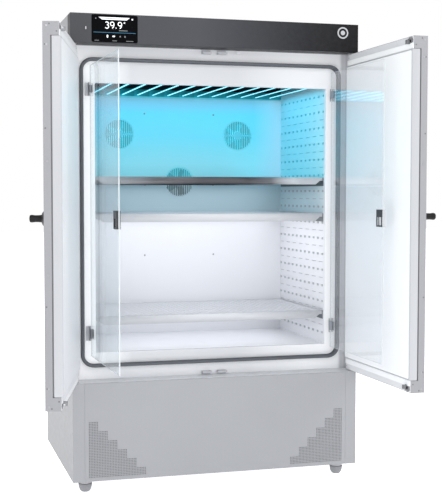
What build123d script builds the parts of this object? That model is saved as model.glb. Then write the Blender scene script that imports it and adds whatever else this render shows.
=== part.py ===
from build123d import *
import os

os.makedirs("parts", exist_ok=True)

# Laboratory incubator: a lit, cooled chamber behind two glass doors and two insulated outer doors.
# Millimetres. +X is to the right seen from the front, +Y to the rear, +Z up.
# The origin is the centre of the cabinet's underside. The outer doors are drawn standing open.

# Cabinet
HALF_WIDTH = 630.0
HALF_DEPTH = 416.0
SHEET = 1.5
INNER_HALF_WIDTH = HALF_WIDTH - SHEET
BASE_HEIGHT = 413.0
HEADER_BOTTOM = 1812.0
HEADER_TOP = 1932.0

# Header
FASCIA_DEPTH = 75.0
FASCIA_SHEET = 2.0
FASCIA_EDGE_RADIUS = 3.0
FASCIA_BACK = -HALF_DEPTH + FASCIA_DEPTH
DISPLAY_LEFT, DISPLAY_RIGHT = -543.5, -351.5
DISPLAY_LOW, DISPLAY_HIGH = 1816.0, 1928.0
DISPLAY_GLASS = 1.0
DISPLAY_MODULE_DEPTH = 18.0
DISPLAY_MODULE_INSET = 8.0
PORT_X, PORT_Z = -567.0, 1872.0
PORT_RADIUS = 4.5
PORT_HALF_STRAIGHT = 4.0
BADGE_X, BADGE_Z = 557.0, 1894.0
BADGE_RADIUS, BADGE_HOLE_RADIUS, BADGE_DOT_RADIUS = 25.0, 19.0, 10.0
TRIM_THICKNESS = 1.5

# Front frame of the body, around the chamber opening
FRAME_FRONT = -324.0
FRAME_BACK = -304.0
OPENING_HALF_WIDTH = 516.0
OPENING_LOW, OPENING_HIGH = 526.0, 1660.0
GASKET_HALF_WIDTH, GASKET_LOW, GASKET_HIGH = 583.0, 462.0, 1767.0
GASKET_BAND = 20.0
GASKET_DEPTH = 25.0
GASKET_CORNER_RADIUS = 57.0

# Chamber
LINER_INNER, LINER_OUTER = 520.0, 522.0
BAFFLE_FRONT, BAFFLE_BACK = 284.0, 285.5
CEILING_LOW, CEILING_HIGH = 1745.0, 1747.0
FLOOR_LOW = 524.0
FAN_CENTRES = ((-296.0, 1481.0), (296.0, 1481.0), (0.0, 1253.0))
GRILLE_RADIUS = 74.0
GRILLE_HUB_RADIUS = 19.0
GRILLE_CROSSBAR = 9.0
GRILLE_SLOT, GRILLE_PITCH, GRILLE_SLOTS_EACH_SIDE = 5.0, 9.0, 8

# Insulation
FOAM_SIDE_INNER, FOAM_OUTER = 560.0, 627.0
FOAM_BACK_FRONT, FOAM_BACK_REAR = 357.0, 413.0
FOAM_SIDE_REAR = 355.0
FOAM_LOW, FOAM_HIGH = 455.0, 1808.0
FOAM_FLOOR_TOP = 515.0
FOAM_CEILING_LOW = 1750.0
FOAM_GAP = 2.0

# Ceiling lighting: tilted slats between two rails, each with a light strip under its lower edge
SLAT_COUNT, SLAT_PITCH = 14, 74.0
SLAT_WIDTH, SLAT_THICKNESS, SLAT_TILT, SLAT_MIDDLE = 58.0, 2.0, 14.0, 1676.0
STRIP_WIDTH, STRIP_HEIGHT, STRIP_INSET = 8.0, 3.5, 4.0
LOUVRE_FRONT, LOUVRE_REAR, LOUVRE_RAIL_WIDTH = -303.0, 283.0, 6.0
LOUVRE_RAIL_LOW, LOUVRE_RAIL_HIGH = 1662.0, 1692.0

# Circulation fans
ROTOR_FRONT, ROTOR_LENGTH = 293.0, 26.0
ROTOR_HUB_RADIUS, ROTOR_TIP_RADIUS = 22.0, 62.0
BLADES = 5
BLADE_CHORD, BLADE_THICKNESS, BLADE_PITCH = 30.0, 2.0, 35.0
SHAFT_RADIUS = 4.0
RUNNING_CLEARANCE = 0.05
MOTOR_RADIUS, MOTOR_FRONT, SHAFT_END, MOTOR_BORE_END = 24.0, 322.0, 345.0, 350.0

# Cooling coil behind the baffle
COIL_HALF_WIDTH, COIL_LOW, COIL_HIGH = 420.0, 560.0, 1120.0
COIL_FRONT, COIL_REAR = 300.0, 340.0
COIL_FINS, COIL_FIN_THICKNESS = 21, 1.0
COIL_TUBES, COIL_TUBE_RADIUS = 6, 5.0
COIL_END_THICKNESS = 2.0

# Shelves: name, underside of the front flange, top
SHELVES = (("shelf_upper", 1238.0, 1270.0), ("shelf_middle", 1076.0, 1111.0), ("shelf_lower", 639.0, 674.0))
SHELF_HALF_WIDTH = 512.0
SHELF_FRONT, SHELF_REAR = -302.0, 264.0
REAR_FLANGE_HALF_WIDTH = 497.0
RUNNER_INNER = 500.0
RUNNER_FRONT, RUNNER_REAR = -298.0, 276.0
RUNNER_THICKNESS, RUNNER_DROP = 2.0, 37.0
LIGHT_PANEL_HALF_WIDTH, LIGHT_PANEL_FRONT, LIGHT_PANEL_REAR = 490.0, -290.0, 255.0
LIGHT_PANEL_HEIGHT, LIGHT_PANEL_WALL = 18.0, 2.0

# Base and machine compartment
BASE_RETURN_INNER = 581.0
BASE_FLANGE_INNER = 500.0
BASE_FLANGE_THICKNESS = 2.0
SERVICE_PANEL_HALF_WIDTH = 580.5
SERVICE_PANEL_LOW, SERVICE_PANEL_HIGH = 1.0, 411.0
GRILLE_OUTER, GRILLE_COLUMN, GRILLE_COLUMNS = 564.5, 40.5, 6
GRILLE_BOTTOM, GRILLE_TALLEST, GRILLE_STEP = 13.0, 254.0, 40.0
GRILLE_SHEET = 1.0
COMPRESSOR_X, COMPRESSOR_Y, COMPRESSOR_RADIUS = 280.0, 180.0, 80.0
COMPRESSOR_LOW, COMPRESSOR_HIGH, COMPRESSOR_DOME = 20.0, 180.0, 35.0
COMPRESSOR_PLATE_HALF, COMPRESSOR_PLATE_THICKNESS = 95.0, 4.0
COMPRESSOR_FOOT_OFFSET, COMPRESSOR_FOOT_RADIUS = 78.0, 12.0
CONDENSER_LEFT, CONDENSER_RIGHT, CONDENSER_HIGH = -302.0, 2.0, 322.0
CONDENSER_FRONT, CONDENSER_REAR = 335.0, 400.0
CONDENSER_FINS, CONDENSER_FIN_LOW, CONDENSER_FIN_HIGH = 24, 22.0, 312.0
CONDENSER_TUBES = 5
CONDENSER_FAN_X, CONDENSER_FAN_Z = -150.0, 162.0
CONDENSER_FAN_OPENING, CONDENSER_TIP_RADIUS, CONDENSER_HUB_RADIUS = 112.0, 105.0, 26.0
CONDENSER_ROTOR_FRONT, CONDENSER_ROTOR_LENGTH, CONDENSER_SHAFT_END = 299.0, 24.0, 262.0
CONDENSER_MOTOR_FRONT, CONDENSER_MOTOR_REAR, CONDENSER_MOTOR_RADIUS = 250.0, 290.0, 30.0
CONDENSER_BAR_WIDTH, CONDENSER_BAR_DEPTH, CONDENSER_BAR_LOW, CONDENSER_BAR_HIGH = 20.0, 8.0, 10.0, 314.0
VENT_COLUMNS = (-300.0, -150.0)
VENT_WIDTH, VENT_HEIGHT, VENT_PITCH, VENT_ROWS, VENT_LOW = 140.0, 7.0, 18.0, 14, 60.0
INLET_X, INLET_Z, INLET_WIDTH, INLET_HEIGHT, INLET_DEPTH = 480.0, 90.0, 48.0, 28.0, 24.0
INLET_WALL, INLET_FLOOR, INLET_PIN_RADIUS, INLET_PIN_SPACING = 4.0, 4.0, 2.0, 12.0

# Levelling feet
FOOT_X, FOOT_Y = 568.0, 341.0
FOOT_DROP = 57.3
FOOT_SOLE_RADIUS, FOOT_RIM_RADIUS, FOOT_NUT_RADIUS, FOOT_STUD_RADIUS = 20.0, 29.0, 14.0, 6.0
FOOT_RIM_LOW, FOOT_RIM_HIGH, FOOT_NUT_TOP, FOOT_STUD_TOP = -22.0, -11.0, -1.0, 30.0

# Outer doors, drawn closed for the left side, then mirrored and swung open
DOOR_MEETING_GAP = 1.5
DOOR_LOW, DOOR_HIGH = 417.0, 1806.0
DOOR_MIDDLE = (DOOR_LOW + DOOR_HIGH) / 2
DOOR_PIVOT = (-622.0, -379.0)
LEFT_DOOR_OPEN, RIGHT_DOOR_OPEN = 104.4, 90.9
PAN_DEPTH, RAIL_DEPTH, RAIL_HEIGHT = 27.5, 58.0, 49.0
PAN_RETURN = 12.0
LINER_FRONT, LINER_REAR = -HALF_DEPTH + 33.0, -HALF_DEPTH + 66.0
DOOR_LINER_WALL, DOOR_LINER_LIP = 2.0, 20.0
RAIL_GAP = 0.5
THERMAL_BREAK_INSET, THERMAL_BREAK_BAND = 5.0, 24.0
HINGE_PIN_RADIUS, HINGE_BLOCK_WIDTH, HINGE_BLOCK_FRONT, HINGE_BLOCK_HEIGHT = 6.0, 24.5, -400.0, 24.5
HINGE_PIN_ENGAGEMENT, HINGE_PLATE_THICKNESS = 20.0, 3.0
HINGE_PLATE_HALF_DEPTH, HINGE_PLATE_INNER = 18.0, -602.0
SCREW_HEIGHTS = (432.0, 498.0, 907.0, 1313.0, 1725.0, 1791.0)
SCREW_RADIUS, SCREW_HEAD, SCREW_DEPTH_FROM_FACE = 4.0, 0.8, 14.0

# Turning knob and the two latches it drives
LATCH_X = -34.5
KNOB_Z = 1108.5
ROSETTE_THICKNESS, ROSETTE_BASE_RADIUS, ROSETTE_TOP_RADIUS = 9.0, 32.0, 21.0
KNOB_GAP, KNOB_SHAFT_RADIUS, KNOB_SHAFT_END = 0.3, 5.0, -392.0
KNOB_PROFILE = ((0, 0), (14.2, 0), (12.6, 12), (12.4, 24), (14.0, 38), (12.6, 43.5), (8.0, 45.5), (0, 45.5))
KNOB_CAM_RADIUS, KNOB_CAM_FRONT, KNOB_CAM_REAR = 16.0, -410.0, -404.0
LATCH_ROD_RADIUS, LATCH_ROD_Y, LATCH_ROD_START = 4.0, -400.0, 1135.0
LATCH_STEM_HALF, LATCH_STEM_LOW, LATCH_STEM_HIGH = 6.0, 1776.0, 1784.0
LATCH_STEM_FRONT, LATCH_TONGUE_FRONT, LATCH_REAR = -404.0, -344.5, -339.0
LATCH_TONGUE_HIGH = 1792.0
LATCH_SLOT_HALF, LATCH_SLOT_LOW, LATCH_SLOT_HIGH = 8.0, 1774.0, 1794.0
LATCH_PLATE_HALF, LATCH_PLATE_LOW, LATCH_PLATE_HIGH = 23.0, 1781.0, 1799.0
STRIKE_HALF, STRIKE_POST, STRIKE_LOW, STRIKE_HIGH, STRIKE_PLATE_HIGH = 20.0, 3.0, 1793.0, 1801.0, 1810.0
STRIKE_FRONT, STRIKE_BAR, STRIKE_PLATE = -350.0, 3.0, 2.0
TAB_X, TAB_LOW, TAB_HIGH, TAB_FRONT = 108.0, 1796.0, 1808.0, -346.0
TAB_HALF_WIDTH, TAB_NECK_HALF_WIDTH, TAB_HEAD = 10.0, 4.0, 4.0

# Inner glass doors, drawn closed for the left side
GLASS_PIVOT = (-540.0, -334.0)
LEFT_GLASS_OPEN, RIGHT_GLASS_OPEN = 88.2, 90.75
GLASS_THICKNESS, GLASS_HINGE_EDGE, GLASS_FREE_EDGE = 5.0, -534.0, -2.0
GLASS_LOW, GLASS_HIGH = 515.0, 1730.0
GLASS_HINGES = ((579.0, 640.0), (1605.0, 1659.0))
KNUCKLE_RADIUS, KNUCKLE_LENGTH, KNUCKLE_GAP, GLASS_PIN_RADIUS = 4.5, 11.0, 0.5, 2.5
HINGE_LEAF_OUTER, HINGE_LEAF_INNER, HINGE_LEAF = -558.0, -536.0, 2.0
CLAMP_END, CLAMP_WEB_END, CLAMP_FRONT_PLATE, CLAMP_BACK_PLATE = -505.0, -534.5, 3.0, 2.5
HANDLE_OUTER, HANDLE_INNER, HANDLE_LOW, HANDLE_HIGH = -54.0, -3.0, 1065.0, 1134.0
HANDLE_PROUD, HANDLE_BACK = 8.0, 3.0
HANDLE_WINDOW_BORDER, HANDLE_WINDOW_HIGH = 6.0, 1104.0


def block(x0, x1, y0, y1, z0, z1):
    """A box between two opposite corners."""
    centre = Pos((x0 + x1) / 2, (y0 + y1) / 2, (z0 + z1) / 2)
    return centre * Box(abs(x1 - x0), abs(y1 - y0), abs(z1 - z0))


def rod_x(y, z, x0, x1, radius):
    """A round bar along X."""
    return Pos((x0 + x1) / 2, y, z) * Rot(0, 90, 0) * Cylinder(radius, abs(x1 - x0))


def rod_y(x, z, y0, y1, radius):
    """A round bar along Y."""
    return Pos(x, (y0 + y1) / 2, z) * Rot(90, 0, 0) * Cylinder(radius, abs(y1 - y0))


def rod_z(x, y, z0, z1, radius):
    """A round bar along Z."""
    return Pos(x, y, (z0 + z1) / 2) * Cylinder(radius, abs(z1 - z0))


def turned(profile):
    """A solid of revolution about Z from (radius, height) corners."""
    outline = Polyline(*[(radius, 0, height) for radius, height in profile], close=True)
    return revolve(make_face(outline), Axis.Z)


def right_of(shape):
    """The right-hand twin of a left-hand shape."""
    return mirror(shape, about=Plane.YZ)


def both_sides(*shapes):
    """Left-hand shapes followed by their right-hand twins."""
    return list(shapes) + [right_of(shape) for shape in shapes]


def upside_down(shape):
    """The bottom twin of a shape at the top of a door."""
    return mirror(shape, about=Plane.XY.offset(DOOR_MIDDLE))


def save(name, shapes):
    """Write one sub-part as a STEP file of its separate solids."""
    solids = [solid for shape in shapes for solid in shape.solids()]
    export_step(Compound(children=solids), f"parts/{name}.step")


def opened(shape, side, pivot, angle):
    """Take a closed left-hand piece to its side and swing it open about its upright pivot."""
    x, y = pivot
    if side == "right":
        shape, x, turn = right_of(shape), -x, angle
    else:
        turn = -angle
    return Pos(x, y, 0) * Rot(0, 0, turn) * Pos(-x, -y, 0) * shape


# ---------------------------------------------------------------- cabinet skin
side_panel = block(-HALF_WIDTH, -INNER_HALF_WIDTH, FRAME_FRONT, HALF_DEPTH, BASE_HEIGHT, HEADER_BOTTOM)
save("side_panels", both_sides(side_panel))

hood = block(-HALF_WIDTH, HALF_WIDTH, FASCIA_BACK, HALF_DEPTH, HEADER_BOTTOM, HEADER_TOP)
hood -= block(
    -INNER_HALF_WIDTH, INNER_HALF_WIDTH, FASCIA_BACK, HALF_DEPTH, HEADER_BOTTOM + SHEET, HEADER_TOP - SHEET
)
hood -= block(
    -INNER_HALF_WIDTH, INNER_HALF_WIDTH, FRAME_BACK, HALF_DEPTH, HEADER_BOTTOM, HEADER_BOTTOM + SHEET
)
save("header_hood", [hood])

fascia = block(-HALF_WIDTH, HALF_WIDTH, -HALF_DEPTH, FASCIA_BACK, HEADER_BOTTOM, HEADER_TOP)
front_edges = fascia.faces().sort_by(Axis.Y)[0].edges()
fascia = fillet(front_edges, FASCIA_EDGE_RADIUS)
fascia -= block(
    -INNER_HALF_WIDTH,
    INNER_HALF_WIDTH,
    -HALF_DEPTH + FASCIA_SHEET,
    FASCIA_BACK,
    HEADER_BOTTOM + SHEET,
    HEADER_TOP - SHEET,
)
display_module = block(
    DISPLAY_LEFT + DISPLAY_MODULE_INSET,
    DISPLAY_RIGHT - DISPLAY_MODULE_INSET,
    -HALF_DEPTH,
    -HALF_DEPTH + DISPLAY_MODULE_DEPTH,
    DISPLAY_LOW + DISPLAY_MODULE_INSET,
    DISPLAY_HIGH - DISPLAY_MODULE_INSET,
)
save("header_fascia", [fascia - display_module])
display_glass = block(
    DISPLAY_LEFT, DISPLAY_RIGHT, -HALF_DEPTH - DISPLAY_GLASS, -HALF_DEPTH, DISPLAY_LOW, DISPLAY_HIGH
)
save("display_screen", [display_glass + display_module])

TRIM_FRONT = -HALF_DEPTH - TRIM_THICKNESS
port = block(
    PORT_X - PORT_RADIUS,
    PORT_X + PORT_RADIUS,
    TRIM_FRONT,
    -HALF_DEPTH,
    PORT_Z - PORT_HALF_STRAIGHT,
    PORT_Z + PORT_HALF_STRAIGHT,
)
for end in (PORT_Z - PORT_HALF_STRAIGHT, PORT_Z + PORT_HALF_STRAIGHT):
    port += rod_y(PORT_X, end, TRIM_FRONT, -HALF_DEPTH, PORT_RADIUS)
save("header_port", [port])

badge_ring = rod_y(BADGE_X, BADGE_Z, TRIM_FRONT, -HALF_DEPTH, BADGE_RADIUS)
badge_ring -= rod_y(BADGE_X, BADGE_Z, TRIM_FRONT, -HALF_DEPTH, BADGE_HOLE_RADIUS)
badge_dot = rod_y(BADGE_X, BADGE_Z, TRIM_FRONT, -HALF_DEPTH, BADGE_DOT_RADIUS)
save("header_badge", [badge_ring, badge_dot])

rear_panel = block(
    -INNER_HALF_WIDTH, INNER_HALF_WIDTH, HALF_DEPTH - SHEET, HALF_DEPTH, 0, HEADER_TOP - SHEET
)
vents = []
for vent_left in VENT_COLUMNS:
    for row in range(VENT_ROWS):
        vent_bottom = VENT_LOW + row * VENT_PITCH
        vents.append(
            block(
                vent_left,
                vent_left + VENT_WIDTH,
                HALF_DEPTH - SHEET,
                HALF_DEPTH,
                vent_bottom,
                vent_bottom + VENT_HEIGHT,
            )
        )
INLET_LEFT, INLET_RIGHT = INLET_X - INLET_WIDTH / 2, INLET_X + INLET_WIDTH / 2
INLET_LOW, INLET_HIGH = INLET_Z - INLET_HEIGHT / 2, INLET_Z + INLET_HEIGHT / 2
inlet = block(INLET_LEFT, INLET_RIGHT, HALF_DEPTH - INLET_DEPTH, HALF_DEPTH, INLET_LOW, INLET_HIGH)
save("rear_panel", [rear_panel - vents - inlet])

inlet -= block(
    INLET_LEFT + INLET_WALL,
    INLET_RIGHT - INLET_WALL,
    HALF_DEPTH - INLET_DEPTH + INLET_FLOOR,
    HALF_DEPTH,
    INLET_LOW + INLET_WALL,
    INLET_HIGH - INLET_WALL,
)
for offset in (-INLET_PIN_SPACING, 0, INLET_PIN_SPACING):
    inlet += rod_y(
        INLET_X + offset,
        INLET_Z,
        HALF_DEPTH - INLET_DEPTH + INLET_FLOOR,
        HALF_DEPTH - INLET_WALL,
        INLET_PIN_RADIUS,
    )
save("mains_inlet", [inlet])

# ---------------------------------------------------------------- front frame and chamber
frame = block(-INNER_HALF_WIDTH, INNER_HALF_WIDTH, FRAME_FRONT, FRAME_BACK, BASE_HEIGHT, HEADER_BOTTOM)
frame -= block(
    -OPENING_HALF_WIDTH, OPENING_HALF_WIDTH, FRAME_FRONT, FRAME_BACK, OPENING_LOW, OPENING_HIGH
)
frame_hollow = block(
    -INNER_HALF_WIDTH + SHEET,
    INNER_HALF_WIDTH - SHEET,
    FRAME_FRONT + SHEET,
    FRAME_BACK,
    BASE_HEIGHT + SHEET,
    HEADER_BOTTOM - SHEET,
)
frame_hollow -= block(
    -OPENING_HALF_WIDTH - SHEET,
    OPENING_HALF_WIDTH + SHEET,
    FRAME_FRONT + SHEET,
    FRAME_BACK,
    OPENING_LOW - SHEET,
    OPENING_HIGH + SHEET,
)
save("front_frame", [frame - frame_hollow])

GASKET_HEIGHT = GASKET_HIGH - GASKET_LOW
gasket_outline = RectangleRounded(2 * GASKET_HALF_WIDTH, GASKET_HEIGHT, GASKET_CORNER_RADIUS)
gasket_outline -= RectangleRounded(
    2 * (GASKET_HALF_WIDTH - GASKET_BAND),
    GASKET_HEIGHT - 2 * GASKET_BAND,
    GASKET_CORNER_RADIUS - GASKET_BAND,
)
gasket = extrude(gasket_outline, GASKET_DEPTH)
gasket = Pos(0, FRAME_FRONT, (GASKET_LOW + GASKET_HIGH) / 2) * Rot(90, 0, 0) * gasket
save("door_gasket", [gasket])

foam_side = block(-FOAM_OUTER, -FOAM_SIDE_INNER, FRAME_BACK, FOAM_SIDE_REAR, FOAM_LOW, FOAM_HIGH)
foam_between = FOAM_SIDE_INNER - FOAM_GAP
foam_floor = block(-foam_between, foam_between, FRAME_BACK, FOAM_SIDE_REAR, FOAM_LOW, FOAM_FLOOR_TOP)
foam_ceiling = block(-foam_between, foam_between, FRAME_BACK, FOAM_SIDE_REAR, FOAM_CEILING_LOW, FOAM_HIGH)
foam_back = block(-FOAM_OUTER, FOAM_OUTER, FOAM_BACK_FRONT, FOAM_BACK_REAR, FOAM_LOW, FOAM_HIGH)
save("insulation", both_sides(foam_side) + [foam_floor, foam_ceiling, foam_back])

side_liner = block(-LINER_OUTER, -LINER_INNER, FRAME_BACK, BAFFLE_FRONT, OPENING_LOW, CEILING_LOW)
save("chamber_side_liners", both_sides(side_liner))
save("chamber_floor", [block(-LINER_OUTER, LINER_OUTER, FRAME_BACK, BAFFLE_FRONT, FLOOR_LOW, OPENING_LOW)])
ceiling = block(-LINER_OUTER, LINER_OUTER, FRAME_BACK, BAFFLE_FRONT, CEILING_LOW, CEILING_HIGH)
save("chamber_ceiling", [ceiling])

baffle = block(-LINER_OUTER, LINER_OUTER, BAFFLE_FRONT, BAFFLE_BACK, OPENING_LOW, CEILING_LOW)
for x, z in FAN_CENTRES:
    grille_area = rod_y(x, z, BAFFLE_FRONT, BAFFLE_BACK, GRILLE_RADIUS)
    grille_area -= rod_y(x, z, BAFFLE_FRONT, BAFFLE_BACK, GRILLE_HUB_RADIUS)
    grille_area -= block(
        x - GRILLE_RADIUS,
        x + GRILLE_RADIUS,
        BAFFLE_FRONT,
        BAFFLE_BACK,
        z - GRILLE_CROSSBAR / 2,
        z + GRILLE_CROSSBAR / 2,
    )
    for step in range(-GRILLE_SLOTS_EACH_SIDE, GRILLE_SLOTS_EACH_SIDE + 1):
        slot_centre = x + step * GRILLE_PITCH
        slot = block(
            slot_centre - GRILLE_SLOT / 2,
            slot_centre + GRILLE_SLOT / 2,
            BAFFLE_FRONT,
            BAFFLE_BACK,
            z - GRILLE_RADIUS,
            z + GRILLE_RADIUS,
        )
        baffle -= slot & grille_area
save("rear_baffle", [baffle])

# ---------------------------------------------------------------- ceiling lighting
SLAT_FRONT, SLAT_REAR = LOUVRE_FRONT + LOUVRE_RAIL_WIDTH, LOUVRE_REAR - LOUVRE_RAIL_WIDTH
louvre = [
    block(-LINER_INNER, LINER_INNER, LOUVRE_FRONT, SLAT_FRONT, LOUVRE_RAIL_LOW, LOUVRE_RAIL_HIGH),
    block(-LINER_INNER, LINER_INNER, SLAT_REAR, LOUVRE_REAR, LOUVRE_RAIL_LOW, LOUVRE_RAIL_HIGH),
]
slat = block(
    -SLAT_WIDTH / 2, SLAT_WIDTH / 2, SLAT_FRONT, SLAT_REAR, -SLAT_THICKNESS / 2, SLAT_THICKNESS / 2
)
strip = block(
    -SLAT_WIDTH / 2 + STRIP_INSET,
    -SLAT_WIDTH / 2 + STRIP_INSET + STRIP_WIDTH,
    SLAT_FRONT + STRIP_INSET,
    SLAT_REAR - STRIP_INSET,
    -SLAT_THICKNESS / 2 - STRIP_HEIGHT,
    -SLAT_THICKNESS / 2,
)
light_strips = []
for index in range(SLAT_COUNT):
    place = Pos((index - (SLAT_COUNT - 1) / 2) * SLAT_PITCH, 0, SLAT_MIDDLE) * Rot(0, -SLAT_TILT, 0)
    louvre.append(place * slat)
    light_strips.append(place * strip)
save("light_louvre", louvre)
save("led_bars", light_strips)


# ---------------------------------------------------------------- fans
def fan_rotor(x, z, front, length, hub_radius, tip_radius, shaft_end):
    """A bladed rotor turning about Y, with its shaft running from the hub to shaft_end."""
    hub = rod_y(x, z, front, front + length, hub_radius)
    shaft_start = front + length if shaft_end > front else front
    rotor = hub + rod_y(x, z, shaft_start, shaft_end, SHAFT_RADIUS)
    blade_root = hub_radius - 2 * BLADE_THICKNESS
    blade = Rot(BLADE_PITCH, 0, 0) * Box(tip_radius - blade_root, BLADE_THICKNESS, BLADE_CHORD)
    blade = Pos((tip_radius + blade_root) / 2, 0, 0) * blade
    for index in range(BLADES):
        rotor += Pos(x, front + length / 2, z) * Rot(0, index * 360 / BLADES, 0) * blade
    return rotor


motors = []
for name, (x, z) in zip(("left", "right", "middle"), FAN_CENTRES):
    save(
        f"fan_rotor_{name}",
        [fan_rotor(x, z, ROTOR_FRONT, ROTOR_LENGTH, ROTOR_HUB_RADIUS, ROTOR_TIP_RADIUS, SHAFT_END)],
    )
    motor = rod_y(x, z, MOTOR_FRONT, FOAM_BACK_FRONT, MOTOR_RADIUS)
    motors.append(motor - rod_y(x, z, MOTOR_FRONT, MOTOR_BORE_END, SHAFT_RADIUS + RUNNING_CLEARANCE))
save("fan_motors", motors)

# ---------------------------------------------------------------- cooling coil
coil = block(
    -COIL_HALF_WIDTH - COIL_END_THICKNESS, -COIL_HALF_WIDTH, BAFFLE_BACK, FOAM_BACK_FRONT, COIL_LOW, COIL_HIGH
)
coil += right_of(coil)
tube_pitch = (COIL_HIGH - COIL_LOW) / COIL_TUBES
for index in range(COIL_TUBES):
    z = COIL_LOW + (index + 0.5) * tube_pitch
    coil += rod_x((COIL_FRONT + COIL_REAR) / 2, z, -COIL_HALF_WIDTH, COIL_HALF_WIDTH, COIL_TUBE_RADIUS)
fin_pitch = 2 * COIL_HALF_WIDTH / (COIL_FINS + 1)
for index in range(COIL_FINS):
    x = -COIL_HALF_WIDTH + (index + 1) * fin_pitch
    coil += block(
        x - COIL_FIN_THICKNESS / 2, x + COIL_FIN_THICKNESS / 2, COIL_FRONT, COIL_REAR, COIL_LOW, COIL_HIGH
    )
save("evaporator_coil", [coil])

# ---------------------------------------------------------------- shelves
runners = []
for name, shelf_low, shelf_high in SHELVES:
    plate_low = shelf_high - SHEET
    shelf = block(-SHELF_HALF_WIDTH, SHELF_HALF_WIDTH, SHELF_FRONT, SHELF_REAR, plate_low, shelf_high)
    shelf += block(
        -SHELF_HALF_WIDTH, SHELF_HALF_WIDTH, SHELF_FRONT, SHELF_FRONT + SHEET, shelf_low, plate_low
    )
    shelf += block(
        -REAR_FLANGE_HALF_WIDTH, REAR_FLANGE_HALF_WIDTH, SHELF_REAR - SHEET, SHELF_REAR, shelf_low, plate_low
    )
    save(name, [shelf])
    runner = block(
        -LINER_INNER, -RUNNER_INNER, RUNNER_FRONT, RUNNER_REAR, plate_low - RUNNER_THICKNESS, plate_low
    )
    runner += block(
        -LINER_INNER,
        -LINER_INNER + RUNNER_THICKNESS,
        RUNNER_FRONT,
        RUNNER_REAR,
        plate_low - RUNNER_DROP,
        plate_low,
    )
    runners += both_sides(runner)
save("shelf_runners", runners)

LIGHT_PANEL_TOP = SHELVES[1][2] - SHEET
LIGHT_PANEL_BOTTOM = LIGHT_PANEL_TOP - LIGHT_PANEL_HEIGHT
light_panel = block(
    -LIGHT_PANEL_HALF_WIDTH,
    LIGHT_PANEL_HALF_WIDTH,
    LIGHT_PANEL_FRONT,
    LIGHT_PANEL_REAR,
    LIGHT_PANEL_BOTTOM,
    LIGHT_PANEL_TOP,
)
light_panel -= block(
    -LIGHT_PANEL_HALF_WIDTH + LIGHT_PANEL_WALL,
    LIGHT_PANEL_HALF_WIDTH - LIGHT_PANEL_WALL,
    LIGHT_PANEL_FRONT + LIGHT_PANEL_WALL,
    LIGHT_PANEL_REAR - LIGHT_PANEL_WALL,
    LIGHT_PANEL_BOTTOM + LIGHT_PANEL_WALL,
    LIGHT_PANEL_TOP,
)
save("shelf_light_panel", [light_panel])

# ---------------------------------------------------------------- base
half_casing = block(-HALF_WIDTH, -INNER_HALF_WIDTH, -HALF_DEPTH, HALF_DEPTH, 0, BASE_HEIGHT)
half_casing += block(-INNER_HALF_WIDTH, -BASE_RETURN_INNER, -HALF_DEPTH, -HALF_DEPTH + SHEET, 0, BASE_HEIGHT)
half_casing += block(
    -INNER_HALF_WIDTH,
    -BASE_FLANGE_INNER,
    -HALF_DEPTH + SHEET,
    HALF_DEPTH - SHEET,
    0,
    BASE_FLANGE_THICKNESS,
)
for y in (-FOOT_Y, FOOT_Y):
    half_casing -= rod_z(-FOOT_X, y, 0, BASE_FLANGE_THICKNESS, FOOT_STUD_RADIUS + RUNNING_CLEARANCE)
half_casing += block(
    -INNER_HALF_WIDTH, 0, -HALF_DEPTH, HALF_DEPTH - SHEET, BASE_HEIGHT - SHEET, BASE_HEIGHT
)
save("base_casing", [half_casing + right_of(half_casing)])

PANEL_BACK = -HALF_DEPTH + SHEET
service_panel = block(
    -SERVICE_PANEL_HALF_WIDTH,
    SERVICE_PANEL_HALF_WIDTH,
    -HALF_DEPTH,
    PANEL_BACK,
    SERVICE_PANEL_LOW,
    SERVICE_PANEL_HIGH,
)
air_grille = Part()
for column in range(GRILLE_COLUMNS):
    left = -GRILLE_OUTER + column * GRILLE_COLUMN
    column_top = GRILLE_TALLEST - column * GRILLE_STEP
    service_panel -= both_sides(
        block(left, left + GRILLE_COLUMN, -HALF_DEPTH, PANEL_BACK, GRILLE_BOTTOM, column_top)
    )
    air_grille += block(
        left, left + GRILLE_COLUMN, PANEL_BACK - GRILLE_SHEET, PANEL_BACK, GRILLE_BOTTOM, column_top
    )
save("service_panel", [service_panel])
save("air_grilles", both_sides(air_grille))

underside = block(
    -BASE_FLANGE_INNER,
    BASE_FLANGE_INNER,
    -HALF_DEPTH + SHEET,
    HALF_DEPTH - SHEET,
    0,
    BASE_FLANGE_THICKNESS,
)
save("underside_plate", [underside])

compressor = rod_z(
    COMPRESSOR_X, COMPRESSOR_Y, COMPRESSOR_LOW, COMPRESSOR_HIGH, COMPRESSOR_RADIUS
)
compressor = fillet(compressor.faces().sort_by(Axis.Z)[-1].edges(), COMPRESSOR_DOME)
compressor += block(
    COMPRESSOR_X - COMPRESSOR_PLATE_HALF,
    COMPRESSOR_X + COMPRESSOR_PLATE_HALF,
    COMPRESSOR_Y - COMPRESSOR_PLATE_HALF,
    COMPRESSOR_Y + COMPRESSOR_PLATE_HALF,
    COMPRESSOR_LOW - COMPRESSOR_PLATE_THICKNESS,
    COMPRESSOR_LOW,
)
for x_step in (-COMPRESSOR_FOOT_OFFSET, COMPRESSOR_FOOT_OFFSET):
    for y_step in (-COMPRESSOR_FOOT_OFFSET, COMPRESSOR_FOOT_OFFSET):
        compressor += rod_z(
            COMPRESSOR_X + x_step,
            COMPRESSOR_Y + y_step,
            BASE_FLANGE_THICKNESS,
            COMPRESSOR_LOW - COMPRESSOR_PLATE_THICKNESS,
            COMPRESSOR_FOOT_RADIUS,
        )
save("compressor", [compressor])

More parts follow.
